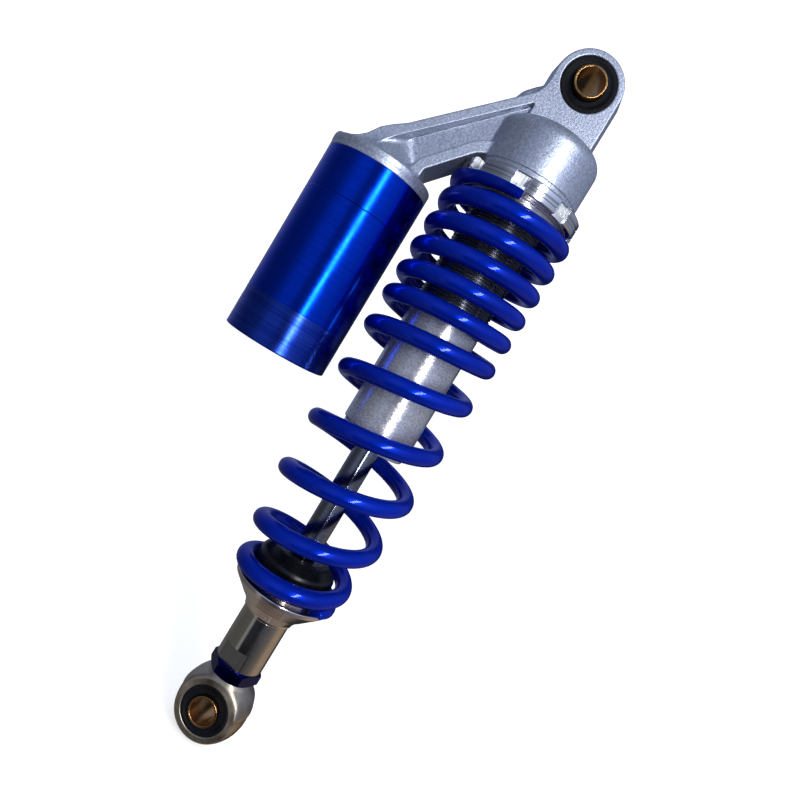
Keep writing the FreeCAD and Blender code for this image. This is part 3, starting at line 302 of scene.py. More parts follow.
# Cells round a grid edge along each axis, in turning order
CELLS_ROUND_EDGE = (
    ((0, -1, -1), (0, 0, -1), (0, 0, 0), (0, -1, 0)),
    ((-1, 0, -1), (-1, 0, 0), (0, 0, 0), (0, 0, -1)),
    ((-1, -1, 0), (0, -1, 0), (0, 0, 0), (-1, 0, 0)),
)


def from_field(name, distance, low, high, grid):
    """Smooth mesh of the zero surface of a distance field, one vertex in each grid cell that it crosses."""
    low = np.array(low, float)
    counts = np.ceil((np.array(high) - low) / grid).astype(int) + 1
    axes = [low[i] + grid * np.arange(counts[i]) for i in range(3)]
    x, y, z = axes[0][:, None, None], axes[1][None, :, None], axes[2][None, None, :]
    field = np.broadcast_to(distance(x, y, z), counts).astype(np.float32)
    crossings, cells = [], []
    for axis in range(3):
        first = np.moveaxis(field, axis, 0)[:-1]
        second = np.moveaxis(field, axis, 0)[1:]
        hit = np.argwhere((first < 0) != (second < 0))
        a, b = first[tuple(hit.T)], second[tuple(hit.T)]
        index = np.insert(hit[:, 1:], axis, hit[:, 0], 1)
        place = index.astype(float)
        place[:, axis] += a / (a - b)
        ring = index[:, None, :] + np.array(CELLS_ROUND_EDGE[axis])[None]
        ring = np.where((a < 0)[:, None, None], ring, ring[:, ::-1])
        crossings.append(np.repeat(place, 4, 0))
        cells.append(ring.reshape(-1, 3))
    crossings, cells = np.concatenate(crossings), np.concatenate(cells)
    keys = (cells[:, 0] * counts[1] + cells[:, 1]) * counts[2] + cells[:, 2]
    corner = np.unique(keys, return_inverse=True)[1]
    number = np.bincount(corner)
    points = np.stack([np.bincount(corner, crossings[:, i]) / number for i in range(3)], 1) * grid + low
    for _ in range(SURFACE_ROUNDS):
        value, normal = distance(*points.T), field_normal(distance, points)
        points -= normal * np.clip(value, -grid / 2, grid / 2)[:, None]
    mesh = bpy.data.meshes.new(name)
    quads = corner.reshape(-1, 4)
    mesh.vertices.add(len(points))
    mesh.vertices.foreach_set("co", (points * MM).ravel())
    mesh.loops.add(quads.size)
    mesh.loops.foreach_set("vertex_index", quads.ravel())
    mesh.polygons.add(len(quads))
    mesh.polygons.foreach_set("loop_start", np.arange(0, quads.size, 4))
    mesh.update(calc_edges=True)
    mesh.validate()
    mesh.shade_smooth()
    mesh.normals_split_custom_set_from_vertices(field_normal(distance, points).tolist())
    return placed(name, mesh)


def field_normal(distance, points):
    """Unit direction in which the distance grows."""
    slope = np.empty_like(points)
    for axis in range(3):
        ahead, behind = points.copy(), points.copy()
        ahead[:, axis] += SLOPE_REACH
        behind[:, axis] -= SLOPE_REACH
        slope[:, axis] = distance(*ahead.T) - distance(*behind.T)
    return slope / np.maximum(np.linalg.norm(slope, axis=1), TINY)[:, None]


# Materials

def new_material(name, colour, metallic, roughness, **sockets):
    """Principled material and its node tree."""
    material = bpy.data.materials.new(name)
    material.use_nodes = True
    shader = material.node_tree.nodes["Principled BSDF"]
    shader.inputs["Base Color"].default_value = (*colour, 1)
    shader.inputs["Metallic"].default_value = metallic
    shader.inputs["Roughness"].default_value = roughness
    for key, value in sockets.items():
        shader.inputs[key.replace("_", " ")].default_value = value
    return material


class Tree:
    """Short way to add nodes to a material."""

    def __init__(self, tree):
        self.nodes, self.links = tree.nodes, tree.links

    def add(self, kind, **values):
        node = self.nodes.new(kind)
        for key, value in values.items():
            setattr(node, key, value)
        return node

    def put(self, source, target):
        self.links.new(source, target)

    def value(self, source, socket):
        if isinstance(source, (int, float)):
            socket.default_value = source
        else:
            self.put(source, socket)

    def maths(self, operation, a, b=0.0):
        node = self.add("ShaderNodeMath", operation=operation)
        for source, socket in zip((a, b), node.inputs):
            self.value(source, socket)
        return node.outputs[0]

    def place(self):
        return self.add("ShaderNodeTexCoord").outputs["Object"]

    def parts(self, vector):
        node = self.add("ShaderNodeSeparateXYZ")
        self.put(vector, node.inputs[0])
        return node.outputs

    def dot(self, vector, direction):
        node = self.add("ShaderNodeVectorMath", operation="DOT_PRODUCT")
        self.put(vector, node.inputs[0])
        node.inputs[1].default_value = direction
        return node.outputs["Value"]

    def scaled(self, vector, factor):
        node = self.add("ShaderNodeVectorMath", operation="SCALE")
        self.put(vector, node.inputs[0])
        self.value(factor, node.inputs["Scale"])
        return node.outputs[0]

    def stretched(self, vector, scale):
        node = self.add("ShaderNodeMapping")
        self.put(vector, node.inputs["Vector"])
        node.inputs["Scale"].default_value = scale
        return node.outputs[0]

    def noise(self, vector, scale, detail=2.0, roughness=0.5):
        node = self.add("ShaderNodeTexNoise")
        self.put(vector, node.inputs["Vector"])
        node.inputs["Scale"].default_value = scale
        node.inputs["Detail"].default_value = detail
        node.inputs["Roughness"].default_value = roughness
        return node.outputs["Fac"]

    def remap(self, source, low, high, new_low=0, new_high=1):
        node = self.add("ShaderNodeMapRange")
        self.put(source, node.inputs["Value"])
        for key, value in zip(("From Min", "From Max", "To Min", "To Max"), (low, high, new_low, new_high)):
            node.inputs[key].default_value = value
        return node.outputs["Result"]

    def mix(self, share, first, second):
        node = self.add("ShaderNodeMix", data_type="RGBA")
        self.value(share, node.inputs["Factor"])
        colours = [s for s in node.inputs if s.type == "RGBA"]
        for source, socket in zip((first, second), colours):
            if isinstance(source, tuple):
                socket.default_value = (*source, 1)
            else:
                self.put(source, socket)
        return [s for s in node.outputs if s.type == "RGBA"][0]

    def bump(self, height, distance, strength=1.0, below=None):
        node = self.add("ShaderNodeBump")
        self.put(height, node.inputs["Height"])
        node.inputs["Distance"].default_value = distance * MM
        node.inputs["Strength"].default_value = strength
        if below:
            self.put(below, node.inputs["Normal"])
        return node.outputs["Normal"]


def into(material, socket, source):
    """Links a node's output to a socket of the material's shader."""
    material.node_tree.links.new(source, material.node_tree.nodes["Principled BSDF"].inputs[socket])


def round_grain(m, t):
    """Lets the finish's brushed look run round the part's axis."""
    into(m, "Tangent", t.add("ShaderNodeTangent", direction_type="RADIAL", axis="Z").outputs[0])


# Each finish draws its pattern from noise: features per millimetre, detail, roughness. A bump is given by its
# height in millimetres and its strength

def cast_aluminium():
    """Grit-blasted casting: a fine grain over a faint mottle."""
    m = new_material("cast_aluminium", (0.50, 0.55, 0.65), 0.78, 0.38, Specular_IOR_Level=0.15)
    t = Tree(m.node_tree)
    place = t.place()
    grain = t.noise(place, 1.1 * PER_MM, 3.0, 0.65)
    mottle = t.noise(place, 0.08 * PER_MM, 3.0)
    tone = t.maths("MULTIPLY", t.remap(mottle, 0.3, 0.7, 0.7, 1), t.remap(grain, 0.32, 0.68))
    into(m, "Base Color", t.mix(tone, (0.32, 0.35, 0.425), (0.57, 0.635, 0.775)))
    into(m, "Roughness", t.remap(grain, 0.3, 0.7, 0.33, 0.46))
    into(m, "Normal", t.bump(grain, 0.19, 0.7))
    return m


def turned_metal(name, light, dark, roughness, pitch, depth, anisotropy, grain=0.0):
    """Metal turned on a lathe: fine rings round the axis, bands of slightly different tone, and a grain."""
    metallic = 0.8 if grain else 1.0
    m = new_material(name, light, metallic, roughness, Anisotropic=anisotropy, Anisotropic_Rotation=0.25)
    t = Tree(m.node_tree)
    place = t.place()
    height = t.parts(place)["Z"]
    rings = t.maths("SINE", t.maths("MULTIPLY", height, 2 * math.pi * PER_MM / pitch))
    bands = t.noise(t.stretched(place, (0.02, 0.02, 1.0)), 1.1 * PER_MM, 3.0, 0.7)
    wear = t.noise(place, 0.12 * PER_MM, 4.0, 0.6)
    tone = t.remap(bands, 0.3, 0.7)
    fine = t.bump(bands, depth * 2, 0.5)
    if grain:
        speck = t.noise(t.stretched(place, (0.8, 0.8, 1.1)), 1.2 * PER_MM, 2.0, 0.6)
        tone = t.maths("ADD", t.maths("MULTIPLY", tone, 1 - grain), t.remap(speck, 0.35, 0.65, 0, grain))
        fine = t.bump(speck, 0.14 * grain, 0.7, fine)
    into(m, "Base Color", t.mix(tone, dark, light))
    into(m, "Roughness", t.remap(wear, 0.3, 0.7, roughness * 0.8, roughness * 1.25))
    into(m, "Normal", t.bump(rings, depth, 0.5, fine))
    round_grain(m, t)
    return m


def milled_metal(name, light, dark, roughness):
    """Metal cut with an end mill: streaks along the cutter's way, down the slot."""
    m = new_material(name, light, 1.0, roughness, Anisotropic=0.7)
    t = Tree(m.node_tree)
    place = t.place()
    streaks = t.noise(t.stretched(place, (1.0, 1.0, 0.02)), 2.2 * PER_MM, 3.0, 0.7)
    into(m, "Base Color", t.mix(t.remap(streaks, 0.38, 0.62), dark, light))
    into(m, "Normal", t.bump(streaks, 0.12, 0.9))
    round_grain(m, t)
    return m


def bright_metal(name, light, dark, roughness):
    """Polished or plated metal with faint smears and fine scratches."""
    m = new_material(name, light, 1.0, roughness)
    t = Tree(m.node_tree)
    place = t.place()
    smears = t.noise(place, 0.09 * PER_MM, 5.0, 0.6)
    scratches = t.noise(t.stretched(place, (1.0, 1.0, 0.06)), 1.6 * PER_MM, 2.0)
    into(m, "Base Color", t.mix(t.remap(smears, 0.35, 0.65), dark, light))
    into(m, "Roughness", t.remap(smears, 0.35, 0.65, roughness * 0.7, roughness * 1.5))
    into(m, "Normal", t.bump(scratches, 0.004, 0.6))
    return m


def gloss_paint():
    """Thick glossy paint over the wire, with a faint orange peel."""
    m = new_material(
        "gloss_blue_paint", (0.0, 0.018, 0.42), 0.45, 0.25, Specular_IOR_Level=0.1,
        Specular_Tint=(0.0, 0.15, 1.0, 1.0), Coat_Weight=0.35, Coat_Roughness=0.03,
    )
    t = Tree(m.node_tree)
    place = t.place()
    peel = t.noise(place, 0.35 * PER_MM, 2.0)
    cloud = t.noise(place, 0.03 * PER_MM, 3.0)
    into(m, "Base Color", t.mix(t.remap(cloud, 0.3, 0.7), (0.0, 0.013, 0.31), (0.0, 0.021, 0.43)))
    into(m, "Normal", t.bump(peel, 0.01, 0.2))
    return m


BLOOM_GAIN = 1.9
BLOOM_LIFT = 0.004


def rubber(name, colour, roughness, shine):
    """Moulded rubber with a fine grain and a dusty bloom."""
    m = new_material(name, colour, 0.0, roughness, Specular_IOR_Level=shine)
    t = Tree(m.node_tree)
    place = t.place()
    grain = t.noise(place, 1.2 * PER_MM, 3.0)
    bloom = t.noise(place, 0.1 * PER_MM, 4.0, 0.65)
    lighter = tuple(c * BLOOM_GAIN + BLOOM_LIFT for c in colour)
    into(m, "Base Color", t.mix(t.remap(bloom, 0.4, 0.75), colour, lighter))
    into(m, "Roughness", t.remap(bloom, 0.3, 0.7, roughness * 0.85, roughness * 1.2))
    into(m, "Normal", t.bump(grain, 0.05, 0.4))
    return m


# Finishes by kind: name, light tone, dark tone, roughness. Turned metal adds its rings' pitch and depth, its
# anisotropy and its share of grain. Rubber has one tone, and adds its shine
FINISHES = (
    (rubber, "glossy_rubber", (0.002, 0.002, 0.003), 0.28, 0.35),
    (bright_metal, "yellow_zinc_steel", (0.72, 0.42, 0.17), (0.40, 0.20, 0.06), 0.2),
    (turned_metal, "turned_aluminium", (0.95, 0.95, 0.96), (0.52, 0.52, 0.54), 0.31, 0.9, 0.02, 0.8, 0.8),
    # The thread's finish is darker than the rest of the tube: painted shade for the shade of the close coils
    # over the thread
    (turned_metal, "threaded_aluminium", (0.40, 0.41, 0.44), (0.22, 0.23, 0.25), 0.3, 0.5, 0.004, 0.6),
    (turned_metal, "blue_anodised", (0.0016, 0.050, 0.66), (0.0012, 0.040, 0.53), 0.24, 0.6, 0.003, 0.9),
    (turned_metal, "ringed_anodised", (0.035, 0.095, 0.62), (0.006, 0.034, 0.36), 0.3, 0.8, 0.02, 0.85),
    (bright_metal, "dark_blue_anodised", (0.004, 0.010, 0.16), (0.003, 0.006, 0.10), 0.2),
    (turned_metal, "polished_aluminium", (0.86, 0.87, 0.88), (0.50, 0.50, 0.46), 0.13, 0.4, 0.004, 0.5),
    (milled_metal, "milled_aluminium", (0.93, 0.94, 0.95), (0.45, 0.46, 0.48), 0.4),
    (turned_metal, "hard_chrome", (0.34, 0.35, 0.38), (0.20, 0.21, 0.23), 0.11, 0.3, 0.003, 0.8),
    (turned_metal, "warm_chrome", (0.92, 0.84, 0.78), (0.72, 0.63, 0.56), 0.16, 0.5, 0.003, 0.5),
    (milled_metal, "milled_steel", (0.42, 0.41, 0.40), (0.30, 0.29, 0.28), 0.35),
    (turned_metal, "polished_steel", (0.66, 0.64, 0.62), (0.57, 0.55, 0.53), 0.12, 0.5, 0.003, 0.5),
    (bright_metal, "nickel_plate", (0.64, 0.56, 0.43), (0.46, 0.39, 0.29), 0.34),
    (bright_metal, "steel", (0.50, 0.50, 0.51), (0.40, 0.40, 0.42), 0.3),
    (bright_metal, "bronze", (0.62, 0.40, 0.20), (0.50, 0.30, 0.14), 0.3),
    (bright_metal, "brass", (0.78, 0.60, 0.28), (0.66, 0.48, 0.20), 0.25),
    (rubber, "black_plastic", (0.014, 0.014, 0.015), 0.4, 0.35),
)
MATERIALS = {
    "cast_aluminium": cast_aluminium(),
    "rubber": rubber("black_rubber", (0.0025, 0.003, 0.005), 0.55, 0.12),
    "gloss_blue_paint": gloss_paint(),
}
MATERIALS.update({name: make(name, *values) for make, name, *values in FINISHES})


def finish_cad_nodes():
    """CAD nodes that stay get the material of their slot."""
    for part in frame["record"]["subparts"]:
        node = frame["nodes"].get(part.get("node") or part.get("name"))
        if node:
            node.data.materials.clear()
            node.data.materials.append(MATERIALS[part["material_slot"]])


# Head casting

CAP_RADIUS = 24.2
CAP_TOP = -23.5
CAP_RIM = -49.8
CAP_SHOULDER = 7.0
CAP_BAND = 2.4
CAP_BAND_STEP = 0.35
PLATE_RADIUS = 16.9
PLATE_DRAFT = 1.8
PLATE_TO_ARM = 4.0
WEB_TO_LID = 3.5
SLAB_HALF = 11.0
SLAB_EDGE = 0.7
EYE_BORE = 12.1
POCKET_DEPTHS = ((-60.0, 5.5), (-14.0, 2.7))
POCKET_DRAFT = 0.18
BOSS_HALF = 7.0
LID_TOP = RESERVOIR_TOP + 5.2
LID_CEILING = 1.2
ARM_OVER_LID = 1.0
SPIGOT_RADIUS = 21.0
SPIGOT_LENGTH = 12.0
SPIGOT_BORE = 15.0
SPIGOT_BORE_RISE = 2.5
TUBE_RADIUS = 17.2

# Fillets between the casting's forms, and its rounded edges
POCKET_FILLET = 0.12
POCKET_EDGE = 0.3
BOSS_FILLET = 1.5
BOSS_EDGE = 4.0
LID_SHOULDER = 1.5
LID_EDGE = 1.2
CAST_FILLET = 1.0
RIM_EDGE = 0.4
BAND_EDGE = 0.3
EYE_CHAMFER = 0.6
MOUTH_EDGE = 0.5

# Outlines of the arm, its pocket and the boss beside the plate, in the XZ plane
ARM_OUTLINE = eased([
    (-6.0, -2.7), (-57.5, -52.6, 8), (-62.2, -55.9, 6), (-66.6, -59.6, 5), (-70.2, -64.8, 4),
    (-73.2, -67.4, 4), (-77.7, -69.8, 3), (-84.0, -70.4), (-84.0, -74.0), (-41.5, -74.0),
    (-41.5, -65.8, 2.5), (-26.2, -48.7, 3), (-21.3, -45.9), (-6.0, -40.0),
])
POCKET_OUTLINE = eased([
    (-15.3, -17.4, 0.7), (-15.3, -40.6), (-24.2, -41.2, 4), (-28.9, -44.3, 6), (-45.4, -63.0, 5),
    (-47.2, -69.0), (-47.2, -73.0), (-70.0, -73.0), (-70.0, -70.5), (-57.1, -58.1), (-17.6, -20.0, 0.7),
])
BOSS_OUTLINE = eased([
    (-8.0, 0.0), (-15.4, -6.2, 3), (-18.9, -9.0, 5), (-22.9, -13.4, 5), (-25.0, -18.6, 3), (-25.4, -24.0),
    (-8.0, -24.0),
])

# Height of the reservoir lid by distance from the reservoir's axis: a steep neck that flares out to the rim
LID_LINE = eased([(0.0, -46.5), (14.5, -70.0, 12), (26.5, -71.6)], closed=False)


def post(x, y, radius, x0=0.0):
    return np.sqrt((x - x0) ** 2 + y * y) - radius


def capped_post(x, y, z, radius, top, shoulder):
    """Upright cylinder that runs down without end, with a rounded top edge."""
    side = post(x, y, radius - shoulder)
    over = z - (top - shoulder)
    outside = np.sqrt(np.maximum(side, 0) ** 2 + np.maximum(over, 0) ** 2)
    return outside + np.minimum(np.maximum(side, over), 0) - shoulder


def flare_distance(r, z):
    """Below the surface that runs from the reservoir's rim up into the arm."""
    slopes = np.diff(LID_LINE[:, 1]) / np.diff(LID_LINE[:, 0])
    slope = np.interp(r, (LID_LINE[1:, 0] + LID_LINE[:-1, 0]) / 2, slopes)
    return (z - np.interp(r, *LID_LINE.T)) / np.sqrt(1 + slope ** 2)


def head_distance(x, y, z):
    """Plate, arm and boss as one slab with a pocket in each side, then lid and spigot, cap, and the bores."""
    across = np.abs(y)
    eye = np.sqrt(x * x + z * z)
    r = post(x, y, 0.0, RESERVOIR_X)
    flare = flare_distance(r, z)
    floor = SLAB_HALF - np.interp(x, *np.array(POCKET_DEPTHS).T)
    wall = outline_distance(x, z, POCKET_OUTLINE) + POCKET_DRAFT * (SLAB_HALF - across)
    pocket = common(wall / math.hypot(1, POCKET_DRAFT), floor - across, POCKET_FILLET)
    web = blend_in(cut_out(across - SLAB_HALF, pocket, POCKET_EDGE), flare, WEB_TO_LID)
    plate = np.maximum(np.where(z > 0, eye, np.abs(x)) - PLATE_RADIUS, CAP_TOP - CAP_SHOULDER - z)
    plate = plate + PLATE_DRAFT * across / SLAB_HALF
    arm = common(web, blend_in(plate, outline_distance(x, z, ARM_OUTLINE), PLATE_TO_ARM), SLAB_EDGE)
    over_lid = np.minimum(RESERVOIR_X + RESERVOIR_RADIUS - x, LID_TOP + ARM_OVER_LID - z)
    arm = common(arm, np.minimum(r - RESERVOIR_RADIUS, over_lid), LID_EDGE)
    boss = common(outline_distance(x, z, BOSS_OUTLINE), across - BOSS_HALF, BOSS_EDGE)
    lid = common(common(flare, z - LID_TOP - LID_CEILING, LID_SHOULDER), r - RESERVOIR_RADIUS, LID_EDGE)
    body = blend_in(blend_in(arm, boss, BOSS_FILLET), lid, CAST_FILLET)
    body = common(body, RESERVOIR_TOP - z, RIM_EDGE)
    spigot = np.maximum(r - SPIGOT_RADIUS, RESERVOIR_TOP - SPIGOT_LENGTH - z)
    body = np.minimum(body, np.maximum(spigot, z - RESERVOIR_TOP - 1))
    cap = capped_post(x, y, z, CAP_RADIUS, CAP_TOP, CAP_SHOULDER)
    band = np.maximum(z - CAP_RIM - CAP_BAND, -CAP_BAND_STEP - post(x, y, CAP_RADIUS))
    cap = common(cut_out(cap, band, BAND_EDGE), CAP_RIM - z, MOUTH_EDGE)
    body = cut_out(blend_in(body, cap, CAST_FILLET), eye - EYE_BORE, EYE_CHAMFER)
    body = cut_out(body, np.maximum(post(x, y, TUBE_RADIUS), z - TUBE_TOP), MOUTH_EDGE)
    gas_bore = np.maximum(post(x, y, SPIGOT_BORE, RESERVOIR_X), z - RESERVOIR_TOP - SPIGOT_BORE_RISE)
    return cut_out(body, gas_bore, MOUTH_EDGE)


def head_casting():
    low = (RESERVOIR_X - RESERVOIR_RADIUS - 1, -CAP_RADIUS - 1, RESERVOIR_TOP - SPIGOT_LENGTH - 1)
    high = (CAP_RADIUS + 1, CAP_RADIUS + 1, PLATE_RADIUS + 1)
    obj = from_field("cast_head", head_distance, low, high, GRID)
    finish_piece(obj, "damper_body", "cast_aluminium", "head_casting")


# Bushes and sleeves

SLEEVE_RADIUS = 7.0
SLEEVE_BORE = 6.0
UPPER_SLEEVE_HALF = 14.0
LOWER_SLEEVE_HALF = 11.5
BUSH_LIP = 9.3
BUSH_LIP_SLOPE = 1.2
BUSH_RECESS = 0.6


def sleeve(name, node, half, height, turn, body):
    obj = eye_ring(name, [(SLEEVE_BORE, half, 0.3), (SLEEVE_RADIUS, half, 0.35)], height, turn)
    finish_piece(obj, body, "yellow_zinc_steel", node)


def bush(name, node, radius, half, height, turn, body):
    floor = half - BUSH_RECESS
    obj = eye_ring(name, [
        (SLEEVE_RADIUS + RUNNING, floor, 0.4), (BUSH_LIP, floor, 1.2), (BUSH_LIP + BUSH_LIP_SLOPE, half, 1.0),
        (radius, half, 0.5),
    ], height, turn)
    finish_piece(obj, body, "rubber", node)


# Reservoir

RESERVOIR_BORE = 21.0
GRIP_HEIGHT = 19.2
GRIP_PITCH = 0.8
GRIP_DEPTH = 0.10
GRIP_MARGIN = 2.0
FOOT_EDGE = 1.2

# Turned lines: distance below the tube's top, half width, depth
BAND_LINES = ((19.3, 0.35, 0.16), (69.4, 0.35, 0.10))


def reservoir_tube():
    """Tube with two turned lines, and fine rings over its lower fifth."""
    r = RESERVOIR_RADIUS
    outline = [(RESERVOIR_BORE, RESERVOIR_TOP), (r, RESERVOIR_TOP, 0.25)]
    for drop, half, depth in BAND_LINES:
        z = RESERVOIR_TOP - drop
        outline += [(r, z + half), (r - depth, z), (r, z - half)]
    foot = RESERVOIR_LOW + FOOT_EDGE
    rings = int((GRIP_HEIGHT - GRIP_MARGIN) / GRIP_PITCH)
    for i in range(rings):
        z = foot + (rings - i) * GRIP_PITCH
        outline += [(r, z), (r - GRIP_DEPTH, z - GRIP_PITCH / 2)]
    outline += [(r, foot), (r, RESERVOIR_LOW, FOOT_EDGE), (RESERVOIR_BORE, RESERVOIR_LOW, 0.3)]
    obj = lathe("reservoir_body", outline, RESERVOIR_X)
    finish_piece(obj, "damper_body", "blue_anodised", "reservoir_tube")
    second_finish(obj, "ringed_anodised", lambda face: face.center.z / MM < RESERVOIR_LOW + GRIP_HEIGHT)


# Damper tube

TUBE_BORE = 15.0
THREAD_PITCH = 1.5
THREAD_DEPTH = 0.92
THREAD_END = -116.5
NOSE_RADIUS = 16.2
NOSE_LENGTH = 6.0

# Levels of points in one pitch of the thread, the slope of its sides, and its crest's width
THREAD_LEVELS = 8
THREAD_SLOPE = 1.25
THREAD_CREST = 0.12


def damper_tube():
    """Tube with a helical thread under the collar and a plain turned lower part."""
    top = CAP_RIM + 1.0
    rings = [circle(TUBE_BORE, TUBE_TOP), circle(TUBE_RADIUS, TUBE_TOP), circle(TUBE_RADIUS, top)]
    levels = int((top - THREAD_END) / THREAD_PITCH * THREAD_LEVELS)
    for i in range(1, levels):
        z = top + (THREAD_END - top) * i / levels
        phase = (z / THREAD_PITCH + ROUND / (2 * math.pi)) % 1.0
        valley = np.clip((1 - np.abs(phase * 2 - 1)) * THREAD_SLOPE - THREAD_CREST, 0, 1)
        fade = min(1.0, (z - THREAD_END) / THREAD_PITCH)
        rings.append(circle(TUBE_RADIUS - THREAD_DEPTH * valley * fade, z))
    rings.append(circle(TUBE_RADIUS, THREAD_END))
    nose = TUBE_END + NOSE_LENGTH
    outline = supported(eased([
        (TUBE_RADIUS, THREAD_END - 0.5), (TUBE_RADIUS, nose + 1.0, 0.6), (NOSE_RADIUS, nose, 0.3),
        (NOSE_RADIUS, TUBE_END, 0.6), (TUBE_BORE, TUBE_END, 0.2), (TUBE_BORE, TUBE_TOP - 1),
    ], closed=False), closed=False)
    rings += [circle(r, z) for r, z in outline]
    obj = stack("damper_body_tube", rings)
    finish_piece(obj, "damper_body", "turned_aluminium", "damper_tube")
    # The thread between the close coils gets the darker finish: painted shade of the coils over it
    second_finish(obj, "threaded_aluminium", lambda face: THREAD_END < face.center.z / MM < top)


# Preload collar and upper spring seat

COLLAR_RADIUS = 29.0
COLLAR_SLOTS = 8
COLLAR_SLOT_WIDTH = 7.4
COLLAR_SLOT_FLOOR = 24.2
COLLAR_SLOT_TURN = math.radians(-6.3)
COLLAR_LIFT = 1.1
COLLAR_TOP_RADIUS = 27.2
COLLAR_FACE = 22.0
COLLAR_GROOVES = (2.5, 4.3)
COLLAR_GROOVE_HALF = 0.35
COLLAR_GROOVE_DEPTH = 0.45
COLLAR_CHAMFER = 0.5
COLLAR_EDGE = 0.2
COLLAR_SKIN = 27.1
COLLAR_SKIN_HEIGHT = 2.4
COLLAR_RECESS = 26.3
COLLAR_RECESS_HEIGHT = 1.6
LAND_STEPS = 12
SLOT_STEPS = 6
UPPER_SEAT_RADIUS = 26.0
UPPER_SEAT_HEIGHT = 1.5
UPPER_SPIGOT_RADIUS = 21.8
UPPER_SPIGOT_LENGTH = 2.4


def collar_outline(land, floor, flat):
    """Castellated outline: lands on a circle, and slots whose floor is flat or follows a circle."""
    half = COLLAR_SLOT_WIDTH / 2
    mouth = math.sqrt(land * land - half * half)
    edge = math.asin(half / land)
    points = []
    for i in range(COLLAR_SLOTS):
        middle = -math.pi / 2 + COLLAR_SLOT_TURN + 2 * math.pi * i / COLLAR_SLOTS
        out = np.array([math.cos(middle), math.sin(middle)])
        side = np.array([-out[1], out[0]])
        points.append(out * mouth - side * half)
        for s in np.linspace(-half, half, SLOT_STEPS + 1):
            depth = floor if flat else math.sqrt(floor * floor - s * s)
            points.append(out * min(depth, math.sqrt(land * land - s * s)) + side * s)
        points.append(out * mouth + side * half)
        for k in range(1, LAND_STEPS):
            a = middle + edge + (2 * math.pi / COLLAR_SLOTS - 2 * edge) * k / LAND_STEPS
            points.append(np.array([land * math.cos(a), land * math.sin(a)]))
    return np.array(points)


def preload_collar():
    """Castellated ring with a chamfered top, two grooves round its lands, and a skirt."""
    def level(outline, z):
        return np.column_stack([outline, np.full(len(outline), z)])

    def ring(land, z, floor=COLLAR_SLOT_FLOOR, flat=True):
        return level(collar_outline(land, floor, flat), z)

    def skirt(land, z):
        return ring(land, z, COLLAR_SKIN, False)

    def inner(radius, z):
        outline = collar_outline(COLLAR_RADIUS, COLLAR_SLOT_FLOOR, True)
        return level(outline / np.linalg.norm(outline, axis=1)[:, None] * radius, z)

    bore = TUBE_RADIUS + RUNNING
    r = COLLAR_RADIUS
    skin = COLLAR_LOW + COLLAR_SKIN_HEIGHT
    top = COLLAR_TOP + COLLAR_LIFT
    rings = [
        inner(bore, top), inner(COLLAR_FACE, top), ring(COLLAR_TOP_RADIUS, top),
        ring(r - COLLAR_CHAMFER, COLLAR_TOP + 0.4), ring(r, COLLAR_TOP - 0.1),
    ]
    for drop in COLLAR_GROOVES:
        z = COLLAR_TOP - drop
        end = z - COLLAR_GROOVE_HALF
        rings += [ring(r, z + COLLAR_GROOVE_HALF), ring(r - COLLAR_GROOVE_DEPTH, z)]
        rings += [ring(r, end)] if end > skin else []
    rings += [ring(r, skin), skirt(r, skin)]
    rings += [skirt(r, COLLAR_LOW + COLLAR_CHAMFER), skirt(r - COLLAR_CHAMFER, COLLAR_LOW)]
    roof = COLLAR_LOW + COLLAR_RECESS_HEIGHT
    rings += [inner(COLLAR_RECESS, COLLAR_LOW), inner(COLLAR_RECESS, roof), inner(bore, roof)]
    obj = stack("castellated_collar", rings)
    finish_piece(obj, "collar", "polished_aluminium", "preload_collar")

    def in_slot(face):
        out = math.hypot(face.center.x, face.center.y) / MM
        return abs(face.normal.z) < 0.5 and COLLAR_SLOT_FLOOR - 0.5 < out < r - 1.0

    second_finish(obj, "milled_aluminium", in_slot)
    bevel(obj, COLLAR_EDGE)


def upper_spring_seat():
    bore = TUBE_RADIUS + RUNNING
    top, foot = SPRING_TOP + UPPER_SEAT_HEIGHT, SPRING_TOP - UPPER_SPIGOT_LENGTH
    obj = lathe("upper_seat_ring", [
        (bore, top, 0.2), (UPPER_SEAT_RADIUS, top, 0.3), (UPPER_SEAT_RADIUS, SPRING_TOP, 0.3),
        (UPPER_SPIGOT_RADIUS, SPRING_TOP, 0.3), (UPPER_SPIGOT_RADIUS, foot, 0.6), (bore, foot, 0.2),
    ])
    finish_piece(obj, "spring_perch", "turned_aluminium", "upper_spring_seat")


# Coil spring, with the same centre line as its solid

WIRE = 8.0
TURNS = 11.85
MEAN_RADIUS = 27.2
LAST_RADIUS = 21.5
TAPER_START = 9.3
TOP_CUT = 1.0
FOOT_CUT = 0.24
PITCHES = (
    (0.0, 8.5), (0.5, 8.5), (0.9, 12.0), (5.15, 12.0), (7.3, 26.2), (9.9, 26.2), (10.7, 21.0), (11.3, 6.75),
    (TURNS, 5.4),
)
SPLIT_TURN = 4.5
WIRE_STEPS = 64
WIRE_SIDES = 32

# Rounded wire ends: share of the wire's thickness, and distance from the end
WIRE_ENDS = ((0.80, 0.0), (0.93, 0.25), (0.985, 0.6))
WIRE_END_STEPS = 2
LINE_STEPS = 6000
TURN_STEP = 0.001


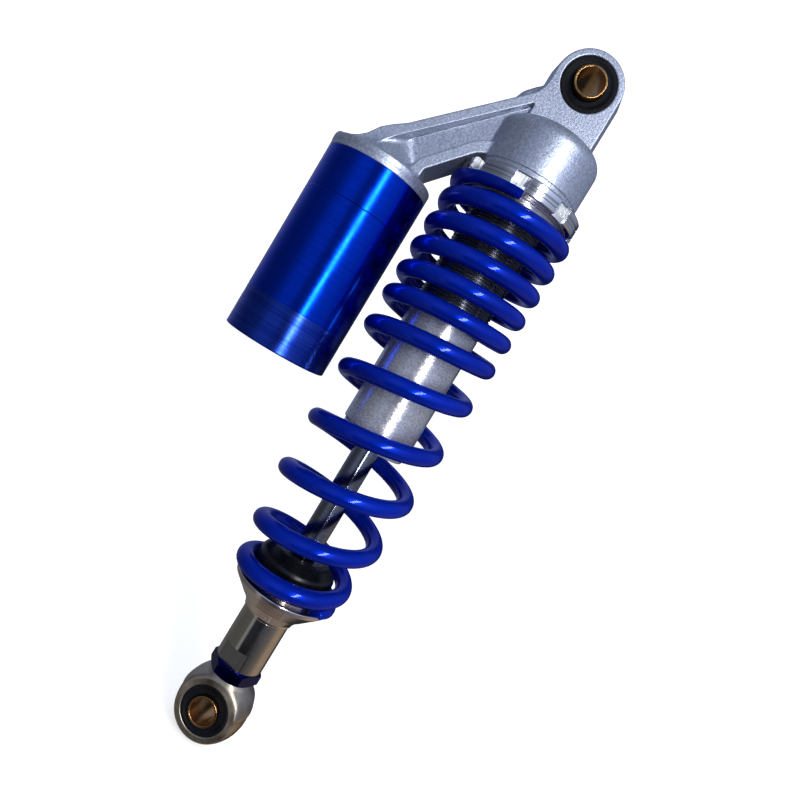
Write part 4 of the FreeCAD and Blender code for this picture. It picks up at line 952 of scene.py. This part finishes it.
def spring_line(turns):
    """Centre line of the wire at these turns. Turn 0 is at the front and the wire runs left as it falls."""
    fine = np.linspace(0, TURNS, LINE_STEPS + 1)
    pitch = np.interp(fine, *np.array(PITCHES).T)
    drop = np.concatenate([[0], np.cumsum((pitch[1:] + pitch[:-1]) / 2 * np.diff(fine))])
    length = SPRING_TOP + TOP_CUT - SPRING_FOOT - FOOT_CUT
    height = SPRING_TOP + TOP_CUT - np.interp(turns, fine, drop) * length / drop[-1]
    radius = np.interp(turns, (0, TAPER_START, TURNS), (MEAN_RADIUS, MEAN_RADIUS, LAST_RADIUS))
    angle = -math.pi / 2 - 2 * math.pi * turns
    return np.stack([radius * np.cos(angle), radius * np.sin(angle), height], 1)


def wire_mesh(name, first, last):
    """Round wire between two turns, with its ends rounded over and ground flat at the seats."""
    turns = np.linspace(first, last, int((last - first) * WIRE_STEPS) + 1)
    line = spring_line(turns)
    ahead = spring_line(np.minimum(turns + TURN_STEP, TURNS)) - spring_line(np.maximum(turns - TURN_STEP, 0))
    ahead /= np.linalg.norm(ahead, axis=1)[:, None]
    out = line * [1, 1, 0]
    out -= ahead * np.sum(out * ahead, 1)[:, None]
    out /= np.linalg.norm(out, axis=1)[:, None]
    up = np.cross(out, ahead)
    sides = np.linspace(0, 2 * math.pi, WIRE_SIDES, endpoint=False)

    def section(i, size, shift):
        ring = np.outer(np.cos(sides), out[i]) + np.outer(np.sin(sides), up[i])
        return line[i] + ahead[i] * shift + ring * WIRE / 2 * size

    head, tail = first == 0, last == TURNS
    start, stop = WIRE_END_STEPS * head, len(turns) - WIRE_END_STEPS * tail
    rings = [section(0, s, d) for s, d in WIRE_ENDS] if head else []
    rings += [section(i, 1.0, 0.0) for i in range(start, stop)]
    rings += [section(len(turns) - 1, s, -d) for s, d in WIRE_ENDS[::-1]] if tail else []
    rings = [np.column_stack([r[:, :2], np.clip(r[:, 2], SPRING_FOOT, SPRING_TOP)]) for r in rings]
    return stack(name, rings, closed=False, sharp=WIRE_SHARP)


def coil_spring():
    """Two lengths of one wire, split at a turn: the upper one is left without a body and the lower one rides
    on the damper body.
    """
    upper = wire_mesh("spring_close_coils", 0.0, SPLIT_TURN)
    finish_piece(upper, None, "gloss_blue_paint", "coil_spring")
    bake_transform(upper)
    lower = wire_mesh("spring_open_coils", SPLIT_TURN, TURNS)
    finish_piece(lower, "damper_body", "gloss_blue_paint", "coil_spring")
    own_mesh(lower)


# Rod, bump stop, lower seat and barrel

ROD_RADIUS = 6.0
ROD_HOLE = ROD_RADIUS + 0.1
ROD_NECK = 4.0
ROD_CENTRE = 1.0
ROD_SHOULDER = -151.9

# Bump stop, a squat dome: radius, height above its foot, corner radius
STOP_OUTLINE = (
    (ROD_HOLE, 0.0, 0.3), (18.6, 0.0, 1.6), (18.6, 8.4, 3.0), (13.4, 12.2, 2.5), (9.6, 12.8, 1.5),
    (7.4, 11.4, 0.8), (ROD_HOLE, 11.4, 0.3),
)

SEAT_GUIDE = 17.2
SEAT_NECK = 12.2
# Lower seat, from its flange to its neck: radius, depth below the spring's foot, corner radius
SEAT_OUTLINE = (
    (SEAT_GUIDE, 0.0, 0.4), (23.6, 0.0, 0.5), (23.6, 2.0, 0.6), (16.2, 9.4, 0.3), (15.3, 9.4, 0.2),
    (SEAT_NECK, 14.2, 0.5),
)
SEAT_BORE = 9.0
SEAT_WEB = 1.8


def piston_rod():
    obj = lathe("chromed_rod", [
        (ROD_CENTRE, ROD_HIGH, 0.2), (ROD_NECK, ROD_HIGH, 0.5), (ROD_NECK, ROD_SHOULDER),
        (ROD_RADIUS, ROD_SHOULDER, 0.3), (ROD_RADIUS, ROD_LOW, 0.5), (ROD_CENTRE, ROD_LOW, 0.2),
    ])
    finish_piece(obj, "rod_assembly", "hard_chrome", "piston_rod")


def bump_stop():
    obj = lathe("rubber_bump_stop", [(r, STOP_LOW + height, c) for r, height, c in STOP_OUTLINE])
    finish_piece(obj, "rod_assembly", "rubber", "bump_stop", finish="glossy_rubber")
    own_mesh(obj)


def lower_spring_seat():
    web = SEAT_TOP - SEAT_WEB
    obj = lathe("lower_seat_cone", [
        (ROD_HOLE, SEAT_TOP, 0.2), (SEAT_GUIDE, SEAT_TOP, 1.0),
        *[(r, SPRING_FOOT - depth, c) for r, depth, c in SEAT_OUTLINE],
        (SEAT_NECK, SEAT_LOW, 0.2), (SEAT_BORE, SEAT_LOW), (SEAT_BORE, web), (ROD_HOLE, web),
    ])
    finish_piece(obj, "rod_assembly", "hard_chrome", "lower_spring_seat", finish="warm_chrome")


BARREL_RADIUS = 11.45
BARREL_SHOULDER = BARREL_LOW + 26.2
BARREL_NECK = 9.0
BARREL_CHAMFER = 0.5
BARREL_EDGE = 0.15
FLATS = 19.0
FLAT_LENGTH = 9.0
FLAT_TURN = math.radians(-21.6)
FLAT_MATCH = 0.99995
STUD_RADIUS = 6.0


def lower_barrel():
    """Turned barrel with two wrench flats across its lower end."""
    angles = np.linspace(0, 2 * math.pi, AROUND * 2, endpoint=False)
    reach = FLATS / 2 / np.maximum(np.abs(np.sin(angles - FLAT_TURN)), 1e-3)

    def ring(radius, z, flat=False):
        return circle(np.minimum(radius, reach) if flat else radius, z, angles)

    r, bore, chamfer = BARREL_RADIUS, STUD_RADIUS + RUNNING, BARREL_CHAMFER
    ledge, top = BARREL_LOW + FLAT_LENGTH, BARREL_SHOULDER
    obj = bevel(stack("wrench_barrel", [
        ring(bore, BARREL_LOW), ring(r - chamfer, BARREL_LOW, True), ring(r, BARREL_LOW + chamfer, True),
        ring(r, ledge, True), ring(r, ledge), ring(r, top - chamfer), ring(r - chamfer, top),
        ring(BARREL_NECK, top), ring(BARREL_NECK, BARREL_HIGH), ring(bore, BARREL_HIGH),
    ]), BARREL_EDGE)
    finish_piece(obj, "rod_assembly", "polished_steel", "lower_barrel")
    square = Vector((-math.sin(FLAT_TURN), math.cos(FLAT_TURN), 0))

    def on_flat(face):
        return face.center.z / MM < ledge and abs(face.normal.dot(square)) > FLAT_MATCH

    second_finish(obj, "milled_steel", on_flat)


# Jam nut

NUT_FLATS = 22.0
NUT_TURN = math.radians(25)
NUT_CHAMFER = math.tan(math.radians(30))
NUT_CORNER_FALL = 0.12
NUT_EDGE = 0.2


def jam_nut():
    """Hexagon whose corners are turned off at both faces."""
    turn = np.linspace(0, 2 * math.pi, AROUND - AROUND % 6, endpoint=False)
    angles = NUT_TURN - math.pi / 2 + turn
    off = turn % (math.pi / 3) - math.pi / 6
    side = NUT_FLATS / 2 / np.cos(off)
    fall = (side - NUT_FLATS / 2) * NUT_CHAMFER + NUT_CORNER_FALL
    bore = STUD_RADIUS + RUNNING
    face = NUT_FLATS / 2 - NUT_EDGE
    rings = (
        (bore, NUT_HIGH), (face, NUT_HIGH), (side, NUT_HIGH - fall), (side, NUT_LOW + fall), (face, NUT_LOW),
        (bore, NUT_LOW),
    )
    obj = bevel(stack("blue_jam_nut", [circle(r, z, angles) for r, z in rings]), NUT_EDGE)
    finish_piece(obj, "jam_nut_body", "dark_blue_anodised", "jam_nut")


# Lower eye

EYE_FACE_RADIUS = 14.7
EYE_CROWN = 2.2
EYE_HALF = 9.75
LOWER_BORE = 11.6
NECK_HEIGHT = 17.0
NECK_FOOT = 4.0
NECK_SIDE = ((5.0, 16.6), (7.9, 15.6), (10.1, 14.7), (12.3, 13.4), (14.5, 11.7), (NECK_HEIGHT, 10.0))
NECK_CONE = ((6.0, 20.0), (15.0, 11.2), (NECK_HEIGHT, 10.0))
NECK_CONE_SHARE = 0.8
STUD_TOP = BARREL_LOW + 14.0

# Fillets and rounded edges of the forging
FORGED_EDGE = 0.8
NECK_EDGE = 1.2
NECK_FILLET = 2.0
CONE_EDGE = 1.0
NECK_TOP_EDGE = 0.4


def eye_distance(px, py, pz):
    """Crowned ring with a tapered neck and its stud, cut through by the bore."""
    cos, sin = math.cos(LOWER_TURN), math.sin(LOWER_TURN)
    x, y, z = px * cos + py * sin, py * cos - px * sin, pz - EYE_CENTRE
    across = np.abs(y)
    out = np.sqrt(x * x + z * z)
    crown = EYE_FACE_RADIUS + EYE_CROWN * (1 - (y / EYE_HALF) ** 2)
    ring = common(out - crown, across - EYE_HALF, FORGED_EDGE)
    width = np.interp(z, *np.array(NECK_SIDE).T) * crown / (EYE_FACE_RADIUS + EYE_CROWN)
    cone = np.sqrt(x * x + y * y) - np.interp(z, *np.array(NECK_CONE).T)
    neck = common(np.abs(x) - width, across - EYE_HALF, NECK_EDGE)
    neck = common(neck, cone * NECK_CONE_SHARE, CONE_EDGE)
    neck = common(neck, np.maximum(z - NECK_HEIGHT, NECK_FOOT - z), NECK_TOP_EDGE)
    body = cut_out(blend_in(ring, neck, NECK_FILLET), out - LOWER_BORE, EYE_CHAMFER)
    stud = np.maximum(post(x, y, STUD_RADIUS), np.maximum(z + EYE_CENTRE - STUD_TOP, NECK_HEIGHT - 1 - z))
    return np.minimum(body, stud)


def lower_eye():
    reach = EYE_FACE_RADIUS + EYE_CROWN + 2
    low, high = (-reach, -reach, EYE_CENTRE - reach), (reach, reach, STUD_TOP + 1)
    obj = from_field("forged_eye", eye_distance, low, high, EYE_GRID)
    finish_piece(obj, "lower_eye_body", "polished_steel", "lower_eye", finish="nickel_plate")


# Camera: place and direction of the photograph's view, turned so that the part leans as it does there

CAMERA_PLACE = Vector((0.0, -288.66, -141.66))
VIEW = Vector((0.003995, 0.998816, -0.048481))
ALONG = Vector((0.999975, -0.004271, -0.005593))
DOWN = Vector((-0.005794, -0.048457, -0.998808))
LEAN = math.atan2(0.5241, 0.8517)
LENS = 28.86
SENSOR_WIDTH = 36.0
CLIP_START = 0.01


def make_camera():
    right = ALONG * math.cos(LEAN) - DOWN * math.sin(LEAN)
    up = -(ALONG * math.sin(LEAN) + DOWN * math.cos(LEAN))
    data = bpy.data.cameras.new("photo_camera")
    data.lens = LENS
    data.sensor_width = SENSOR_WIDTH
    data.clip_start = CLIP_START
    camera = placed("photo_camera", data)
    turn = Matrix((right, up, -VIEW)).transposed().to_4x4()
    camera.matrix_world = Matrix.Translation(CAMERA_PLACE * MM) @ turn
    bpy.context.scene.camera = camera


# Light and floor

# The lamp, in metres: a tall strip that faces the middle of the part. Azimuth 0 is the front and 90 the right
LAMP_AIM = Vector((-0.02, 0, -0.16))
LAMP_AZIMUTH = math.radians(24)
LAMP_ELEVATION = math.radians(13)
LAMP_DISTANCE = 1.2
LAMP_WIDTH = 0.14
LAMP_HEIGHT = 1.1
LAMP_LEAN = math.radians(10)
LAMP_POWER = 11.5


def make_lamp():
    out = Vector((math.sin(LAMP_AZIMUTH), -math.cos(LAMP_AZIMUTH), math.tan(LAMP_ELEVATION))).normalized()
    data = bpy.data.lights.new("strip", "AREA")
    data.shape = "RECTANGLE"
    data.size = LAMP_WIDTH
    data.size_y = LAMP_HEIGHT
    data.energy = LAMP_POWER
    lamp = placed("strip", data)
    lamp.location = LAMP_AIM + out * LAMP_DISTANCE
    turn = (-out).to_track_quat("-Z", "Y") @ Quaternion((0, 0, 1), -LAMP_LEAN)
    lamp.rotation_euler = turn.to_euler()


# Brightness of what shiny surfaces reflect, by direction round the part, above and below the horizon
UPPER_TINT = (0.78, 0.91, 1.36)
UPPER = (
    (-180, 0.34), (-165, 0.34), (-150, 0.32), (-140, 0.30), (-120, 0.26), (-100, 0.15), (-80, 0.12),
    (-50, 0.18), (-34, 0.36), (-25, 0.46), (-9, 0.44), (0, 0.22), (10, 0.20), (17, 0.38), (34, 0.75),
    (50, 0.58), (75, 0.38), (100, 0.28), (120, 0.28), (132, 0.24), (142, 0.10), (150, 0.03), (167, 0.04),
    (180, 0.34),
)
LOWER = (
    (-180, 0.14, 0.14, 0.14), (-150, 0.14, 0.14, 0.14), (-100, 0.10, 0.10, 0.09), (-70, 0.10, 0.10, 0.09),
    (-48, 0.11, 0.11, 0.10), (-43, 0.26, 0.26, 0.25), (-35, 0.26, 0.26, 0.25), (-28, 0.03, 0.03, 0.035),
    (-24, 0.012, 0.012, 0.016), (14, 0.012, 0.012, 0.014), (22, 0.035, 0.035, 0.035), (40, 0.07, 0.07, 0.07),
    (70, 0.16, 0.14, 0.12), (95, 0.38, 0.29, 0.20), (118, 0.38, 0.29, 0.20), (132, 0.27, 0.21, 0.15),
    (142, 0.08, 0.07, 0.06), (150, 0.02, 0.02, 0.02), (167, 0.02, 0.02, 0.02), (180, 0.14, 0.14, 0.14),
)
GROUND = (0.16, 0.135, 0.12)
ZENITH = (0.10, 0.13, 0.20)
SHADE_SIDE = (0.03, 0.032, 0.04)
BRIGHT_SIDE = (0.62, 0.66, 0.74)
WHITE = (1.0, 1.0, 1.0)
WORLD_STRENGTH = 1.3
LIGHT_SIDE = (0.48, -0.42, 0.77)


def round_ramp(t, azimuth, stops):
    """Colour by direction round the part, from (degrees, red, green, blue)."""
    node = t.add("ShaderNodeValToRGB")
    t.put(azimuth, node.inputs[0])
    ramp = node.color_ramp.elements
    while len(ramp) > 1:
        ramp.remove(ramp[-1])
    for i, (degrees, *colour) in enumerate(stops):
        stop = ramp[0] if i == 0 else ramp.new((degrees + 180) / 360)
        stop.position = (degrees + 180) / 360
        stop.color = (*(c / WORLD_STRENGTH for c in colour), 1)
    return node.outputs[0]


def make_world():
    """Shiny surfaces reflect the ramps, matt ones get a soft side light, and the camera sees plain white."""
    world = bpy.data.worlds.new("studio")
    bpy.context.scene.world = world
    world.cycles.sampling_method = "NONE"
    world.use_nodes = True
    t = Tree(world.node_tree)
    t.nodes.clear()
    direction = t.add("ShaderNodeTexCoord").outputs["Generated"]
    way = t.parts(direction)
    azimuth = t.maths("ARCTAN2", way["X"], t.maths("MULTIPLY", way["Y"], -1.0))
    azimuth = t.remap(azimuth, -math.pi, math.pi)
    upper = round_ramp(t, azimuth, [(a, *(level * c for c in UPPER_TINT)) for a, level in UPPER])
    lower = round_ramp(t, azimuth, LOWER)
    upper = t.scaled(upper, t.remap(way["Z"], 0.0, 0.42, 0.75, 1.1))
    seen = t.mix(t.remap(way["Z"], -0.42, -0.14), lower, upper)
    seen = t.mix(t.remap(way["Z"], -0.72, -0.88), seen, GROUND)
    seen = t.mix(t.remap(way["Z"], 0.60, 0.85), seen, ZENITH)
    soft = t.mix(t.remap(t.dot(direction, LIGHT_SIDE), -0.35, 0.95), SHADE_SIDE, BRIGHT_SIDE)
    ray = t.add("ShaderNodeLightPath").outputs
    shown = t.mix(ray["Is Diffuse Ray"], seen, soft)
    shown = t.mix(ray["Is Camera Ray"], shown, WHITE)
    background = t.add("ShaderNodeBackground")
    t.put(shown, background.inputs["Color"])
    background.inputs["Strength"].default_value = WORLD_STRENGTH
    t.put(background.outputs[0], t.add("ShaderNodeOutputWorld").inputs[0])


FLOOR_RADIUS = 6.0
FLOOR_SIDES = 96
FLOOR_GAP = 0.001
FLOOR_GLOW = 0.55


def make_floor():
    """Wide pale floor just under the lower eye."""
    bpy.ops.mesh.primitive_circle_add(vertices=FLOOR_SIDES, radius=FLOOR_RADIUS, fill_type="NGON")
    floor = bpy.context.object
    floor.name = "floor"
    floor.location.z = CAD_BOX[0].z - FLOOR_GAP
    floor.data.materials.append(new_material(
        "pale_floor", (0.9, 0.9, 0.9), 0.0, 0.9, Emission_Color=(*WHITE, 1), Emission_Strength=FLOOR_GLOW,
    ))
    floor.visible_glossy = False
    floor.visible_diffuse = False


make_camera()
make_world()
make_floor()
make_lamp()
bpy.context.scene.view_settings.view_transform = "Standard"

finish_cad_nodes()
head_casting()
bush("upper_rubber", "upper_bush", EYE_BORE, SLAB_HALF, 0.0, 0.0, "damper_body")
sleeve("upper_eye_sleeve", "upper_sleeve", UPPER_SLEEVE_HALF, 0.0, 0.0, "upper_sleeve_body")
reservoir_tube()
damper_tube()
preload_collar()
upper_spring_seat()
coil_spring()
piston_rod()
bump_stop()
lower_spring_seat()
lower_barrel()
jam_nut()
lower_eye()
bush("lower_rubber", "lower_bush", LOWER_BORE, EYE_HALF, EYE_CENTRE, LOWER_TURN, "lower_eye_body")
sleeve("lower_eye_sleeve", "lower_sleeve", LOWER_SLEEVE_HALF, EYE_CENTRE, LOWER_TURN, "lower_sleeve_body")
